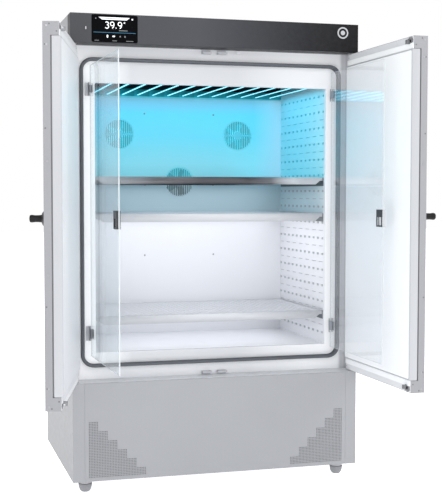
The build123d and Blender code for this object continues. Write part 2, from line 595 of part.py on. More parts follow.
condenser = block(
    CONDENSER_LEFT,
    CONDENSER_RIGHT,
    CONDENSER_FRONT - COIL_END_THICKNESS,
    CONDENSER_FRONT,
    BASE_FLANGE_THICKNESS,
    CONDENSER_HIGH,
)
condenser -= rod_y(
    CONDENSER_FAN_X,
    CONDENSER_FAN_Z,
    CONDENSER_FRONT - COIL_END_THICKNESS,
    CONDENSER_FRONT,
    CONDENSER_FAN_OPENING,
)
for plate_left in (CONDENSER_LEFT, CONDENSER_RIGHT - COIL_END_THICKNESS):
    condenser += block(
        plate_left,
        plate_left + COIL_END_THICKNESS,
        CONDENSER_FRONT,
        CONDENSER_REAR,
        BASE_FLANGE_THICKNESS,
        CONDENSER_HIGH,
    )
condenser_tube_pitch = (CONDENSER_FIN_HIGH - CONDENSER_FIN_LOW) / CONDENSER_TUBES
for index in range(CONDENSER_TUBES):
    z = CONDENSER_FIN_LOW + (index + 0.5) * condenser_tube_pitch
    condenser += rod_x(
        (CONDENSER_FRONT + CONDENSER_REAR) / 2, z, CONDENSER_LEFT, CONDENSER_RIGHT, COIL_TUBE_RADIUS
    )
condenser_pitch = (CONDENSER_RIGHT - CONDENSER_LEFT) / (CONDENSER_FINS + 1)
for index in range(CONDENSER_FINS):
    x = CONDENSER_LEFT + (index + 1) * condenser_pitch
    condenser += block(
        x - COIL_FIN_THICKNESS / 2,
        x + COIL_FIN_THICKNESS / 2,
        CONDENSER_FRONT + 2 * COIL_END_THICKNESS,
        CONDENSER_REAR,
        CONDENSER_FIN_LOW,
        CONDENSER_FIN_HIGH,
    )
BAR_LEFT = CONDENSER_FAN_X - CONDENSER_BAR_WIDTH / 2
BAR_RIGHT = CONDENSER_FAN_X + CONDENSER_BAR_WIDTH / 2
motor_support = block(
    BAR_LEFT,
    BAR_RIGHT,
    CONDENSER_MOTOR_FRONT,
    CONDENSER_MOTOR_FRONT + CONDENSER_BAR_DEPTH,
    CONDENSER_BAR_LOW,
    CONDENSER_BAR_HIGH,
)
for post_low in (CONDENSER_BAR_LOW, CONDENSER_BAR_HIGH - CONDENSER_BAR_DEPTH):
    motor_support += block(
        BAR_LEFT,
        BAR_RIGHT,
        CONDENSER_MOTOR_FRONT,
        CONDENSER_FRONT - COIL_END_THICKNESS,
        post_low,
        post_low + CONDENSER_BAR_DEPTH,
    )
motor_support += rod_y(
    CONDENSER_FAN_X, CONDENSER_FAN_Z, CONDENSER_MOTOR_FRONT, CONDENSER_MOTOR_REAR, CONDENSER_MOTOR_RADIUS
)
motor_support -= rod_y(
    CONDENSER_FAN_X,
    CONDENSER_FAN_Z,
    CONDENSER_MOTOR_FRONT + CONDENSER_BAR_DEPTH,
    CONDENSER_MOTOR_REAR,
    SHAFT_RADIUS + RUNNING_CLEARANCE,
)
save("condenser_unit", [condenser + motor_support])
save(
    "condenser_fan_rotor",
    [
        fan_rotor(
            CONDENSER_FAN_X,
            CONDENSER_FAN_Z,
            CONDENSER_ROTOR_FRONT,
            CONDENSER_ROTOR_LENGTH,
            CONDENSER_HUB_RADIUS,
            CONDENSER_TIP_RADIUS,
            CONDENSER_SHAFT_END,
        )
    ],
)

FOOT_PROFILE = (
    (0, -FOOT_DROP),
    (FOOT_SOLE_RADIUS, -FOOT_DROP),
    (FOOT_RIM_RADIUS, FOOT_RIM_LOW),
    (FOOT_RIM_RADIUS, FOOT_RIM_HIGH),
    (FOOT_NUT_RADIUS, FOOT_RIM_HIGH),
    (FOOT_NUT_RADIUS, FOOT_NUT_TOP),
    (FOOT_STUD_RADIUS, FOOT_NUT_TOP),
    (FOOT_STUD_RADIUS, FOOT_STUD_TOP),
    (0, FOOT_STUD_TOP),
)
for name, x, y in (
    ("foot_front_left", -FOOT_X, -FOOT_Y),
    ("foot_front_right", FOOT_X, -FOOT_Y),
    ("foot_rear_left", -FOOT_X, FOOT_Y),
    ("foot_rear_right", FOOT_X, FOOT_Y),
):
    save(name, [Pos(x, y, 0) * turned(FOOT_PROFILE)])

# ---------------------------------------------------------------- fixed hardware for the outer doors
PIVOT_X, PIVOT_Y = DOOR_PIVOT
pin_top = block(
    -HALF_WIDTH,
    HINGE_PLATE_INNER,
    PIVOT_Y - HINGE_PLATE_HALF_DEPTH,
    PIVOT_Y + HINGE_PLATE_HALF_DEPTH,
    HEADER_BOTTOM - HINGE_PLATE_THICKNESS,
    HEADER_BOTTOM,
)
pin_top += rod_z(
    PIVOT_X,
    PIVOT_Y,
    DOOR_HIGH - HINGE_PIN_ENGAGEMENT,
    HEADER_BOTTOM - HINGE_PLATE_THICKNESS,
    HINGE_PIN_RADIUS,
)
pin_bottom = block(
    -HALF_WIDTH,
    HINGE_PLATE_INNER,
    PIVOT_Y - HINGE_PLATE_HALF_DEPTH,
    PIVOT_Y + HINGE_PLATE_HALF_DEPTH,
    BASE_HEIGHT,
    BASE_HEIGHT + HINGE_PLATE_THICKNESS,
)
pin_bottom += rod_z(
    PIVOT_X,
    PIVOT_Y,
    BASE_HEIGHT + HINGE_PLATE_THICKNESS,
    DOOR_LOW + HINGE_PIN_ENGAGEMENT,
    HINGE_PIN_RADIUS,
)
save("door_hinge_pins", both_sides(pin_top, pin_bottom))

STRIKE_LEFT, STRIKE_RIGHT = LATCH_X - STRIKE_HALF, LATCH_X + STRIKE_HALF
strike = block(
    STRIKE_LEFT, STRIKE_RIGHT, FRAME_FRONT - STRIKE_PLATE, FRAME_FRONT, STRIKE_LOW, STRIKE_PLATE_HIGH
)
strike += block(STRIKE_LEFT, STRIKE_RIGHT, STRIKE_FRONT, STRIKE_FRONT + STRIKE_BAR, STRIKE_LOW, STRIKE_HIGH)
for post_left in (STRIKE_LEFT, STRIKE_RIGHT - STRIKE_POST):
    strike += block(
        post_left,
        post_left + STRIKE_POST,
        STRIKE_FRONT + STRIKE_BAR,
        FRAME_FRONT - STRIKE_PLATE,
        STRIKE_LOW,
        STRIKE_HIGH,
    )
save("strike_brackets", both_sides(strike, upside_down(strike)))

tab = block(
    TAB_X - TAB_HALF_WIDTH, TAB_X + TAB_HALF_WIDTH, TAB_FRONT, TAB_FRONT + TAB_HEAD, TAB_LOW, TAB_HIGH
)
tab += block(
    TAB_X - TAB_NECK_HALF_WIDTH,
    TAB_X + TAB_NECK_HALF_WIDTH,
    TAB_FRONT + TAB_HEAD,
    FRAME_FRONT,
    TAB_LOW,
    TAB_HIGH,
)
save("door_sensor_tab", [tab])

# ---------------------------------------------------------------- outer doors
DOOR_OUTER, DOOR_FREE = -HALF_WIDTH, -DOOR_MEETING_GAP
PAN_REAR = -HALF_DEPTH + PAN_DEPTH
RAIL_REAR = -HALF_DEPTH + RAIL_DEPTH
TOP_RAIL_LOW = DOOR_HIGH - RAIL_HEIGHT
BOTTOM_RAIL_HIGH = DOOR_LOW + RAIL_HEIGHT
shell = block(DOOR_OUTER, DOOR_FREE, -HALF_DEPTH, PAN_REAR, DOOR_LOW, DOOR_HIGH)
shell += block(DOOR_OUTER, DOOR_FREE, PAN_REAR, RAIL_REAR, TOP_RAIL_LOW, DOOR_HIGH)
shell += block(DOOR_OUTER, DOOR_FREE, PAN_REAR, RAIL_REAR, DOOR_LOW, BOTTOM_RAIL_HIGH)
shell -= block(
    DOOR_OUTER + SHEET,
    DOOR_FREE - SHEET,
    -HALF_DEPTH + SHEET,
    RAIL_REAR - SHEET,
    DOOR_LOW + SHEET,
    DOOR_HIGH - SHEET,
)
for return_left in (DOOR_OUTER + SHEET, DOOR_FREE - SHEET - PAN_RETURN):
    shell += block(
        return_left,
        return_left + PAN_RETURN,
        PAN_REAR - SHEET,
        PAN_REAR,
        BOTTOM_RAIL_HIGH,
        TOP_RAIL_LOW,
    )
hinge_block = block(
    DOOR_OUTER + SHEET,
    DOOR_OUTER + SHEET + HINGE_BLOCK_WIDTH,
    HINGE_BLOCK_FRONT,
    RAIL_REAR - SHEET,
    DOOR_HIGH - SHEET - HINGE_BLOCK_HEIGHT,
    DOOR_HIGH - SHEET,
)
hinge_bore = rod_z(
    PIVOT_X,
    PIVOT_Y,
    DOOR_HIGH - SHEET - HINGE_BLOCK_HEIGHT,
    DOOR_HIGH,
    HINGE_PIN_RADIUS + RUNNING_CLEARANCE,
)
latch_slot = block(
    LATCH_X - LATCH_SLOT_HALF,
    LATCH_X + LATCH_SLOT_HALF,
    RAIL_REAR - SHEET,
    RAIL_REAR + TRIM_THICKNESS,
    LATCH_SLOT_LOW,
    LATCH_SLOT_HIGH,
)
KNOB_BORE_RADIUS = KNOB_SHAFT_RADIUS + RUNNING_CLEARANCE
for place in (lambda shape: shape, upside_down):
    shell += place(hinge_block)
    shell -= place(hinge_bore)
    shell -= place(latch_slot)
shell -= rod_y(LATCH_X, KNOB_Z, -HALF_DEPTH, -HALF_DEPTH + SHEET, KNOB_BORE_RADIUS)

DOOR_LINER_LOW = BOTTOM_RAIL_HIGH + RAIL_GAP
DOOR_LINER_HIGH = TOP_RAIL_LOW - RAIL_GAP
liner = block(DOOR_OUTER, DOOR_FREE, LINER_FRONT, LINER_REAR, DOOR_LINER_LOW, DOOR_LINER_HIGH)
liner -= block(
    DOOR_OUTER + DOOR_LINER_WALL,
    DOOR_FREE - DOOR_LINER_WALL,
    LINER_FRONT + DOOR_LINER_WALL,
    LINER_REAR - DOOR_LINER_WALL,
    DOOR_LINER_LOW + DOOR_LINER_WALL,
    DOOR_LINER_HIGH - DOOR_LINER_WALL,
)
liner -= block(
    DOOR_OUTER + DOOR_LINER_LIP,
    DOOR_FREE - DOOR_LINER_LIP,
    LINER_FRONT,
    LINER_FRONT + DOOR_LINER_WALL,
    DOOR_LINER_LOW + DOOR_LINER_LIP,
    DOOR_LINER_HIGH - DOOR_LINER_LIP,
)

thermal_break = block(
    DOOR_OUTER + THERMAL_BREAK_INSET,
    DOOR_FREE - THERMAL_BREAK_INSET,
    PAN_REAR,
    LINER_FRONT,
    DOOR_LINER_LOW,
    DOOR_LINER_HIGH,
)
thermal_break -= block(
    DOOR_OUTER + THERMAL_BREAK_INSET + THERMAL_BREAK_BAND,
    DOOR_FREE - THERMAL_BREAK_INSET - THERMAL_BREAK_BAND,
    PAN_REAR,
    LINER_FRONT,
    DOOR_LINER_LOW + THERMAL_BREAK_BAND,
    DOOR_LINER_HIGH - THERMAL_BREAK_BAND,
)
rosette = Cone(ROSETTE_BASE_RADIUS, ROSETTE_TOP_RADIUS, ROSETTE_THICKNESS)
rosette = Pos(LATCH_X, -HALF_DEPTH - ROSETTE_THICKNESS / 2, KNOB_Z) * Rot(90, 0, 0) * rosette
rosette -= rod_y(LATCH_X, KNOB_Z, -HALF_DEPTH - ROSETTE_THICKNESS, -HALF_DEPTH, KNOB_BORE_RADIUS)
latch_plate = block(
    LATCH_X - LATCH_PLATE_HALF,
    LATCH_X + LATCH_PLATE_HALF,
    RAIL_REAR,
    RAIL_REAR + TRIM_THICKNESS,
    LATCH_PLATE_LOW,
    LATCH_PLATE_HIGH,
)
latch_plate -= latch_slot

screws = []
for z in SCREW_HEIGHTS:
    screws.append(
        rod_x(-HALF_DEPTH + SCREW_DEPTH_FROM_FACE, z, DOOR_FREE, DOOR_FREE + SCREW_HEAD, SCREW_RADIUS)
    )

KNOB_BACK = -HALF_DEPTH - ROSETTE_THICKNESS - KNOB_GAP
knob = Pos(LATCH_X, KNOB_BACK, KNOB_Z) * Rot(90, 0, 0) * turned(KNOB_PROFILE)
knob += rod_y(LATCH_X, KNOB_Z, KNOB_BACK, KNOB_SHAFT_END, KNOB_SHAFT_RADIUS)
knob += rod_y(LATCH_X, KNOB_Z, KNOB_CAM_FRONT, KNOB_CAM_REAR, KNOB_CAM_RADIUS)

latch = rod_z(LATCH_X, LATCH_ROD_Y, LATCH_ROD_START, LATCH_STEM_HIGH, LATCH_ROD_RADIUS)
latch += block(
    LATCH_X - LATCH_STEM_HALF,
    LATCH_X + LATCH_STEM_HALF,
    LATCH_STEM_FRONT,
    LATCH_REAR,
    LATCH_STEM_LOW,
    LATCH_STEM_HIGH,
)
latch += block(
    LATCH_X - LATCH_STEM_HALF,
    LATCH_X + LATCH_STEM_HALF,
    LATCH_TONGUE_FRONT,
    LATCH_REAR,
    LATCH_STEM_HIGH,
    LATCH_TONGUE_HIGH,
)

door_pieces = {
    "door_shell": [shell],
    "door_liner": [liner],
    "door_trim": [thermal_break, rosette, latch_plate, upside_down(latch_plate)],
    "door_screws": screws,
    "knob": [knob],
    "latch_top": [latch],
    "latch_bottom": [upside_down(latch)],
}
for side, angle in (("left", LEFT_DOOR_OPEN), ("right", RIGHT_DOOR_OPEN)):
    for name, shapes in door_pieces.items():
        save(f"{side}_{name}", [opened(shape, side, DOOR_PIVOT, angle) for shape in shapes])

# ---------------------------------------------------------------- glass doors
GLASS_X, GLASS_Y = GLASS_PIVOT
GLASS_REAR = GLASS_Y + GLASS_THICKNESS
pane = block(GLASS_HINGE_EDGE, GLASS_FREE_EDGE, GLASS_Y, GLASS_REAR, GLASS_LOW, GLASS_HIGH)

fixed_leaves = []
clamps = []
for low, high in GLASS_HINGES:
    leaf = block(HINGE_LEAF_OUTER, HINGE_LEAF_INNER, FRAME_FRONT - HINGE_LEAF, FRAME_FRONT, low, high)
    for knuckle_low in (low, high - KNUCKLE_LENGTH):
        leaf += rod_z(GLASS_X, GLASS_Y, knuckle_low, knuckle_low + KNUCKLE_LENGTH, KNUCKLE_RADIUS)
        leaf += block(
            GLASS_X - KNUCKLE_RADIUS,
            GLASS_X,
            GLASS_Y,
            FRAME_FRONT - HINGE_LEAF,
            knuckle_low,
            knuckle_low + KNUCKLE_LENGTH,
        )
    leaf += rod_z(GLASS_X, GLASS_Y, low, high, GLASS_PIN_RADIUS)
    fixed_leaves.append(leaf)

    clamp_low = low + KNUCKLE_LENGTH + KNUCKLE_GAP
    clamp_high = high - KNUCKLE_LENGTH - KNUCKLE_GAP
    clamp = rod_z(GLASS_X, GLASS_Y, clamp_low, clamp_high, KNUCKLE_RADIUS)
    clamp += block(GLASS_X, CLAMP_END, GLASS_Y - CLAMP_FRONT_PLATE, GLASS_Y, clamp_low, clamp_high)
    clamp += block(
        GLASS_X, CLAMP_WEB_END, GLASS_Y, GLASS_REAR + CLAMP_BACK_PLATE, clamp_low, clamp_high
    )
    clamp += block(
        CLAMP_WEB_END, CLAMP_END, GLASS_REAR, GLASS_REAR + CLAMP_BACK_PLATE, clamp_low, clamp_high
    )
    clamp -= rod_z(GLASS_X, GLASS_Y, clamp_low, clamp_high, GLASS_PIN_RADIUS + RUNNING_CLEARANCE)
    clamps.append(clamp)
save("glass_hinge_leaves", both_sides(*fixed_leaves))

handle = block(HANDLE_OUTER, HANDLE_INNER, GLASS_Y - HANDLE_PROUD, GLASS_Y, HANDLE_LOW, HANDLE_HIGH)
handle_window = block(
    HANDLE_OUTER + HANDLE_WINDOW_BORDER,
    HANDLE_INNER - HANDLE_WINDOW_BORDER,
    GLASS_Y - HANDLE_PROUD,
    GLASS_REAR + HANDLE_BACK,
    HANDLE_LOW + HANDLE_WINDOW_BORDER,
    HANDLE_WINDOW_HIGH,
)
handle_back = block(
    HANDLE_OUTER, HANDLE_INNER, GLASS_REAR, GLASS_REAR + HANDLE_BACK, HANDLE_LOW, HANDLE_HIGH
)
glass_pieces = {
    "glass_pane": [pane],
    "glass_fittings": clamps + [handle - handle_window, handle_back - handle_window],
}
for side, angle in (("left", LEFT_GLASS_OPEN), ("right", RIGHT_GLASS_OPEN)):
    for name, shapes in glass_pieces.items():
        save(f"{side}_{name}", [opened(shape, side, GLASS_PIVOT, angle) for shape in shapes])
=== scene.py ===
import math

import bmesh
import bpy
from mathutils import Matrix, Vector


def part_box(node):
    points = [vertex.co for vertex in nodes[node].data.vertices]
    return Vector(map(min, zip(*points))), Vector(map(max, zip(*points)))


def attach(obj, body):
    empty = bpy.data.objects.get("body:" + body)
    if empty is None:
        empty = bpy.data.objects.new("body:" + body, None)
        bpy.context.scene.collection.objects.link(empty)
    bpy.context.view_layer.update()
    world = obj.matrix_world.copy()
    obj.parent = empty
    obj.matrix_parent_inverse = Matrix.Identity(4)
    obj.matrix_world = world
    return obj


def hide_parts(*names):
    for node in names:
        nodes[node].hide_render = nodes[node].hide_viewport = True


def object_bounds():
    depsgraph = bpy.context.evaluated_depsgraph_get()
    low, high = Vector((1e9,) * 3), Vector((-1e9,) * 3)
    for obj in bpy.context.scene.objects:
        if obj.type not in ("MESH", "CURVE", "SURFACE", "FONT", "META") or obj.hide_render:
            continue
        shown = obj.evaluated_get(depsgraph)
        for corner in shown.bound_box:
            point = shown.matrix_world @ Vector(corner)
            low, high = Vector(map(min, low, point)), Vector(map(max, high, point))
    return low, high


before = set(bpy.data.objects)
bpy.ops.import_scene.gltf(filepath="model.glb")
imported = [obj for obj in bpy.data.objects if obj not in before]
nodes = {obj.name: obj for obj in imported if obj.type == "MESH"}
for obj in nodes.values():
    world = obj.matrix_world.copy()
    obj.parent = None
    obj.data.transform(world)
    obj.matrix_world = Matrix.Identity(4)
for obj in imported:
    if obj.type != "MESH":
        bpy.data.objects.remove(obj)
cad_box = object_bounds()
MM = 0.001

# ---------------- camera
CAMERA_PLACE = (-1.2935, -4.8663, 1.2011)
CAMERA_YAW, CAMERA_PITCH = 15.5, 3.0
camera_data = bpy.data.cameras.new("camera")
camera_data.lens = 78.6
camera_data.sensor_width = 36.0
camera_data.shift_x = 0.03
camera = bpy.data.objects.new("camera", camera_data)
camera.location = CAMERA_PLACE
camera.rotation_euler = (math.radians(90 - CAMERA_PITCH), 0, math.radians(-CAMERA_YAW))
bpy.context.scene.collection.objects.link(camera)
bpy.context.scene.camera = camera
bpy.context.scene.view_settings.view_transform = "Standard"


# ---------------- materials
class Shade:
    """A node material under construction."""

    def __init__(self, name):
        self.material = bpy.data.materials.new(name)
        self.material.use_nodes = True
        self.tree = self.material.node_tree
        self.shader = self.tree.nodes["Principled BSDF"]
        self.output = self.tree.nodes["Material Output"]
        self.place = self.node("ShaderNodeTexCoord").outputs["Object"]

    @classmethod
    def over(cls, material):
        """Take up a finished material again."""
        shade = cls.__new__(cls)
        shade.material, shade.tree = material, material.node_tree
        shade.shader = shade.tree.nodes["Principled BSDF"]
        shade.place = shade.node("ShaderNodeTexCoord").outputs["Object"]
        return shade

    def node(self, kind, inputs=None, **settings):
        made = self.tree.nodes.new(kind)
        for key, value in settings.items():
            setattr(made, key, value)
        for key, value in (inputs or {}).items():
            if isinstance(value, bpy.types.NodeSocket):
                self.tree.links.new(value, made.inputs[key])
            else:
                made.inputs[key].default_value = value
        return made

    def noise(self, scale, detail=2.0, stretch=(1, 1, 1)):
        place = self.place
        if stretch != (1, 1, 1):
            place = self.node("ShaderNodeMapping", {"Vector": place, "Scale": stretch}).outputs[0]
        inputs = {"Vector": place, "Scale": scale, "Detail": detail}
        return self.node("ShaderNodeTexNoise", inputs).outputs[0]

    def spread(self, value, low, high, start=0.3, end=0.7):
        inputs = {"Value": value, "From Min": start, "From Max": end, "To Min": low, "To Max": high}
        return self.node("ShaderNodeMapRange", inputs).outputs[0]

    def rise(self, value, start, end):
        """From 0 before start to 1 after end."""
        return self.spread(value, 0.0, 1.0, start, end)

    def fall(self, value, start, end):
        """From 1 before start to 0 after end."""
        return self.spread(value, 1.0, 0.0, start, end)

    def tint(self, amount, first, second):
        mixer = self.node("ShaderNodeMix", {0: amount}, data_type="RGBA")
        for socket, colour in ((6, first), (7, second)):
            if isinstance(colour, bpy.types.NodeSocket):
                self.tree.links.new(colour, mixer.inputs[socket])
            else:
                mixer.inputs[socket].default_value = (*colour, 1.0)
        return mixer.outputs[2]

    def ramp(self, value, stops):
        """Colours along a coordinate, given as (metres, colour)."""
        start, end = stops[0][0], stops[-1][0]
        band = self.node("ShaderNodeValToRGB", {0: self.rise(value, start, end)})
        colours = band.color_ramp.elements
        colours.remove(colours[1])
        colours[0].position = 0.0
        colours[0].color = (*stops[0][1], 1.0)
        for place, colour in stops[1:]:
            colours.new((place - start) / (end - start)).color = (*colour, 1.0)
        return band.outputs[0]

    def math(self, operation, first, second=0.0):
        return self.node("ShaderNodeMath", {0: first, 1: second}, operation=operation).outputs[0]

    def along(self, axis):
        split = self.node("ShaderNodeSeparateXYZ", {0: self.place})
        return split.outputs["XYZ".index(axis)]

    def set(self, **values):
        for name, value in values.items():
            socket = self.shader.inputs[name.replace("_", " ")]
            if isinstance(value, bpy.types.NodeSocket):
                self.tree.links.new(value, socket)
            elif name in ("Base_Color", "Emission_Color", "Specular_Tint"):
                socket.default_value = (*value, 1.0)
            else:
                socket.default_value = value
        return self

    def bump(self, height, strength, distance):
        inputs = {"Height": height, "Strength": strength, "Distance": distance}
        self.set(Normal=self.node("ShaderNodeBump", inputs).outputs[0])
        return self


def darker(colour, amount):
    return tuple(channel * amount for channel in colour)


def coated(name, colour, roughness, peel=0.12, coat=0.0, mottle=0.012):
    """Powder coat or moulded plastic: fine orange peel, faint mottling, uneven gloss."""
    shade = Shade(name)
    patch = shade.spread(shade.noise(5.0, 3.0), 0.0, 1.0)
    shade.set(
        Base_Color=shade.tint(patch, darker(colour, 1 - mottle), darker(colour, 1 + mottle)),
        Roughness=shade.spread(shade.noise(40.0, 4.0), roughness - 0.04, roughness + 0.05),
        Coat_Weight=coat,
        Coat_Roughness=0.08,
    )
    shade.bump(shade.noise(650.0, 2.0), peel, 0.0004)
    return shade.material


def brushed(name, colour, roughness, grain=(3, 260, 260), depth=0.1, metallic=1.0):
    """Metal with a drawn grain along the direction in which grain is small."""
    shade = Shade(name)
    streak = shade.noise(1.0, 4.0, grain)
    shade.set(
        Base_Color=shade.tint(shade.spread(streak, 0.0, 1.0), darker(colour, 0.86), darker(colour, 1.1)),
        Roughness=shade.spread(streak, roughness - 0.07, roughness + 0.1),
        Metallic=metallic,
        Anisotropic=0.5,
    )
    shade.bump(streak, depth, 0.0003)
    return shade.material


def spangled(name, colour):
    """Galvanised sheet with its crystal pattern."""
    shade = Shade(name)
    crystals = shade.node("ShaderNodeTexVoronoi", {"Vector": shade.place, "Scale": 60.0}).outputs["Color"]
    tone = shade.node("ShaderNodeSeparateXYZ", {0: crystals}).outputs[0]
    shade.set(
        Base_Color=shade.tint(tone, darker(colour, 0.90), darker(colour, 1.10)),
        Roughness=shade.spread(tone, 0.42, 0.55, 0.0, 1.0),
        Metallic=0.55,
    )
    return shade.bump(shade.noise(400.0, 2.0), 0.05, 0.0002).material


def glowing(name, colour, strength):
    """A lamp diffuser: uneven glow over a milky surface."""
    shade = Shade(name)
    patch = shade.spread(shade.noise(22.0, 2.0), 0.0, 1.0)
    shade.set(
        Base_Color=shade.tint(patch, darker(colour, 0.8), colour),
        Emission_Color=shade.tint(patch, darker(colour, 0.9), colour),
        Roughness=0.4,
        Emission_Strength=strength,
    )
    shade.bump(shade.noise(300.0, 2.0), 0.05, 0.0004)
    return shade.material


def clear_glass(name, tint, film_low, film_high, glance_power):
    """A pane that lets light through, mirrors more at a glancing angle and carries a faint haze."""
    shade = Shade(name)
    clear = shade.node("ShaderNodeBsdfTransparent", {"Color": (*tint, 1.0)}).outputs[0]
    gloss = {"Color": (0.97, 0.98, 0.99, 1.0), "Roughness": 0.03}
    mirror = shade.node("ShaderNodeBsdfGlossy", gloss).outputs[0]
    glance = shade.node("ShaderNodeLayerWeight", {"Blend": 0.5}).outputs["Facing"]
    facing = shade.spread(shade.math("POWER", glance, glance_power), 0.03, 0.9, 0.0, 1.0)
    film = shade.spread(shade.along("Z"), film_low, film_high, 1.0, 1.3)
    smear = shade.math("MULTIPLY", film, shade.spread(shade.noise(3.0, 2.0, (1, 6, 0.6)), 0.93, 1.07))
    haze = shade.node("ShaderNodeBsdfDiffuse", {"Color": (0.86, 0.87, 0.89, 1.0)}).outputs[0]
    body = shade.node("ShaderNodeMixShader", {0: smear, 1: clear, 2: haze}).outputs[0]
    pane = shade.node("ShaderNodeMixShader", {0: facing, 1: body, 2: mirror}).outputs[0]
    shade.tree.links.new(pane, shade.output.inputs[0])
    shade.tree.nodes.remove(shade.shader)
    return shade.material


cabinet_paint = coated("cabinet_grey_paint", (0.285, 0.292, 0.309), 0.45)
casing = Shade.over(cabinet_paint)
# painted shade: the cabinet's outer side faces are a darker copy of its front grey
flank_painted_shade = casing.rise(casing.math("ABSOLUTE", casing.along("X")), 0.6290, 0.6296)
front_tone = casing.shader.inputs["Base Color"].links[0].from_socket
casing.set(Base_Color=casing.tint(flank_painted_shade, front_tone, (0.245, 0.25, 0.265)))
door_paint = coated("door_grey_paint", (0.27, 0.272, 0.29), 0.45)


def fascia_with_painted_reflection():
    """Graphite lacquer with a painted reflection that makes it lighter towards its left end, dark on the
    returns behind the front.
    """
    shade = Shade("fascia_graphite")
    # painted reflection: the front's graphite darkens from left to right
    stops = ((-0.63, (0.062, 0.064, 0.070)), (-0.1, (0.064, 0.067, 0.076)), (0.4, (0.016, 0.0165, 0.019)))
    stops += ((0.63, (0.0025, 0.0025, 0.003)),)
    graphite = shade.ramp(shade.along("X"), stops)
    behind_front = shade.rise(shade.along("Y"), -0.4155, -0.412)
    graphite = shade.tint(behind_front, graphite, (0.006, 0.006, 0.007))
    shade.set(
        Base_Color=shade.tint(shade.spread(shade.noise(60.0, 3.0), 0.0, 0.08), graphite, (0.09, 0.09, 0.1)),
        Roughness=shade.spread(shade.noise(40.0, 4.0), 0.36, 0.44),
        Specular_IOR_Level=0.12,
    )
    return shade.bump(shade.noise(900.0, 2.0), 0.04, 0.0003).material


def chamber_enamel_with_painted_light():
    """White enamel with the cyan light of the lamps above the upper shelf painted into its colour, softly
    towards the edges and whiter at the rear wall's right end, and a painted grey-blue shade between the
    middle and upper shelves.
    """
    shade = Shade("chamber_enamel_painted_light")
    x, y, z = (shade.along(axis) for axis in "XYZ")
    # painted light and shade in the enamel's colour: cyan above the upper shelf, grey-blue shade between the
    # shelves
    upper = shade.rise(z, 1.250, 1.275)
    on_rear = shade.rise(y, 0.274, 0.282)
    right_end_painted_light = shade.rise(x, 0.380, 0.500)
    height = ((1.27, (0.50, 0.88, 0.88)), (1.34, (0.52, 0.95, 0.96)), (1.40, (0.42, 0.90, 0.92)))
    height += ((1.47, (0.30, 0.84, 0.90)), (1.58, (0.27, 0.78, 0.86)), (1.62, (0.40, 0.70, 0.80)))
    rear = shade.tint(right_end_painted_light, shade.ramp(z, height), (0.74, 0.90, 0.96))
    side = shade.ramp(z, ((1.27, (0.52, 0.84, 0.86)), (1.45, (0.54, 0.84, 0.88)), (1.62, (0.60, 0.80, 0.84))))
    gap_painted_shade = shade.rise(z, 1.09, 1.115)
    walls = shade.tint(gap_painted_shade, (0.81, 0.82, 0.85), (0.68, 0.80, 0.835))
    walls = shade.tint(upper, walls, shade.tint(on_rear, side, rear))
    patch = shade.spread(shade.noise(4.0, 2.0), 0.0, 0.03)
    shade.set(
        Base_Color=shade.tint(patch, walls, (0.7, 0.7, 0.7)),
        Roughness=shade.spread(shade.noise(30.0, 3.0), 0.36, 0.44),
    )
    return shade.bump(shade.noise(650.0, 2.0), 0.04, 0.0003).material


def baffle_enamel_with_painted_light():
    """The rear baffle's enamel with the chamber's painted cyan light, darker within its three fan grilles,
    whose fins and bars take painted cyan light above the upper shelf, and above the louvre a painted shade
    with a painted teal glow just over the slats.
    """
    material = chamber_enamel_with_painted_light()
    material.name = "rear_baffle_enamel_painted_light"
    shade = Shade.over(material)
    nearest = None
    for x, z in FAN_CENTRES:
        shift = {"Vector": shade.place, "Location": (-x, 0, -z), "Scale": (1, 0, 1)}
        away = shade.node("ShaderNodeMapping", shift).outputs[0]
        distance = shade.node("ShaderNodeVectorMath", {0: away}, operation="LENGTH").outputs["Value"]
        nearest = shade.math("MINIMUM", nearest, distance) if nearest else distance
    inside = shade.fall(nearest, GRILLE_RADIUS - 0.002, GRILLE_RADIUS)
    hub = shade.fall(nearest, HUB_RADIUS - 0.002, HUB_RADIUS + 0.001)
    for height in sorted({z for x, z in FAN_CENTRES}):
        above = shade.math("ABSOLUTE", shade.math("SUBTRACT", shade.along("Z"), height))
        hub = shade.math("MAXIMUM", hub, shade.fall(above, 0.0045, 0.0055))
    # painted light: the grilles' fins and bars are cyan above the upper shelf, grey below it
    below_shelf = shade.fall(shade.along("Z"), *UPPER_SHELF)
    fins = shade.tint(below_shelf, (0.08, 0.36, 0.40), (0.09, 0.13, 0.145))
    fins = shade.tint(hub, fins, shade.tint(below_shelf, (0.20, 0.66, 0.72), (0.38, 0.46, 0.49)))
    plain = shade.shader.inputs["Base Color"].links[0].from_socket
    x, z = shade.along("X"), shade.along("Z")
    # painted shade above the louvre, with a painted teal glow in a band just over the slats
    above_louvre = shade.rise(z, 1.652, 1.662)
    leaning = shade.math("ADD", z, shade.math("MULTIPLY", x, 0.030))
    lit = shade.math("MULTIPLY", above_louvre, shade.fall(leaning, 1.662, 1.694))
    plenum_painted_shade_and_glow = shade.tint(lit, (0.001, 0.012, 0.022), (0.04, 0.42, 0.50))
    shade.set(
        Base_Color=shade.tint(above_louvre, shade.tint(inside, plain, fins), plenum_painted_shade_and_glow),
        Emission_Color=(0.03, 0.50, 0.62),
        Emission_Strength=shade.math("MULTIPLY", lit, 0.62),
    )
    return material


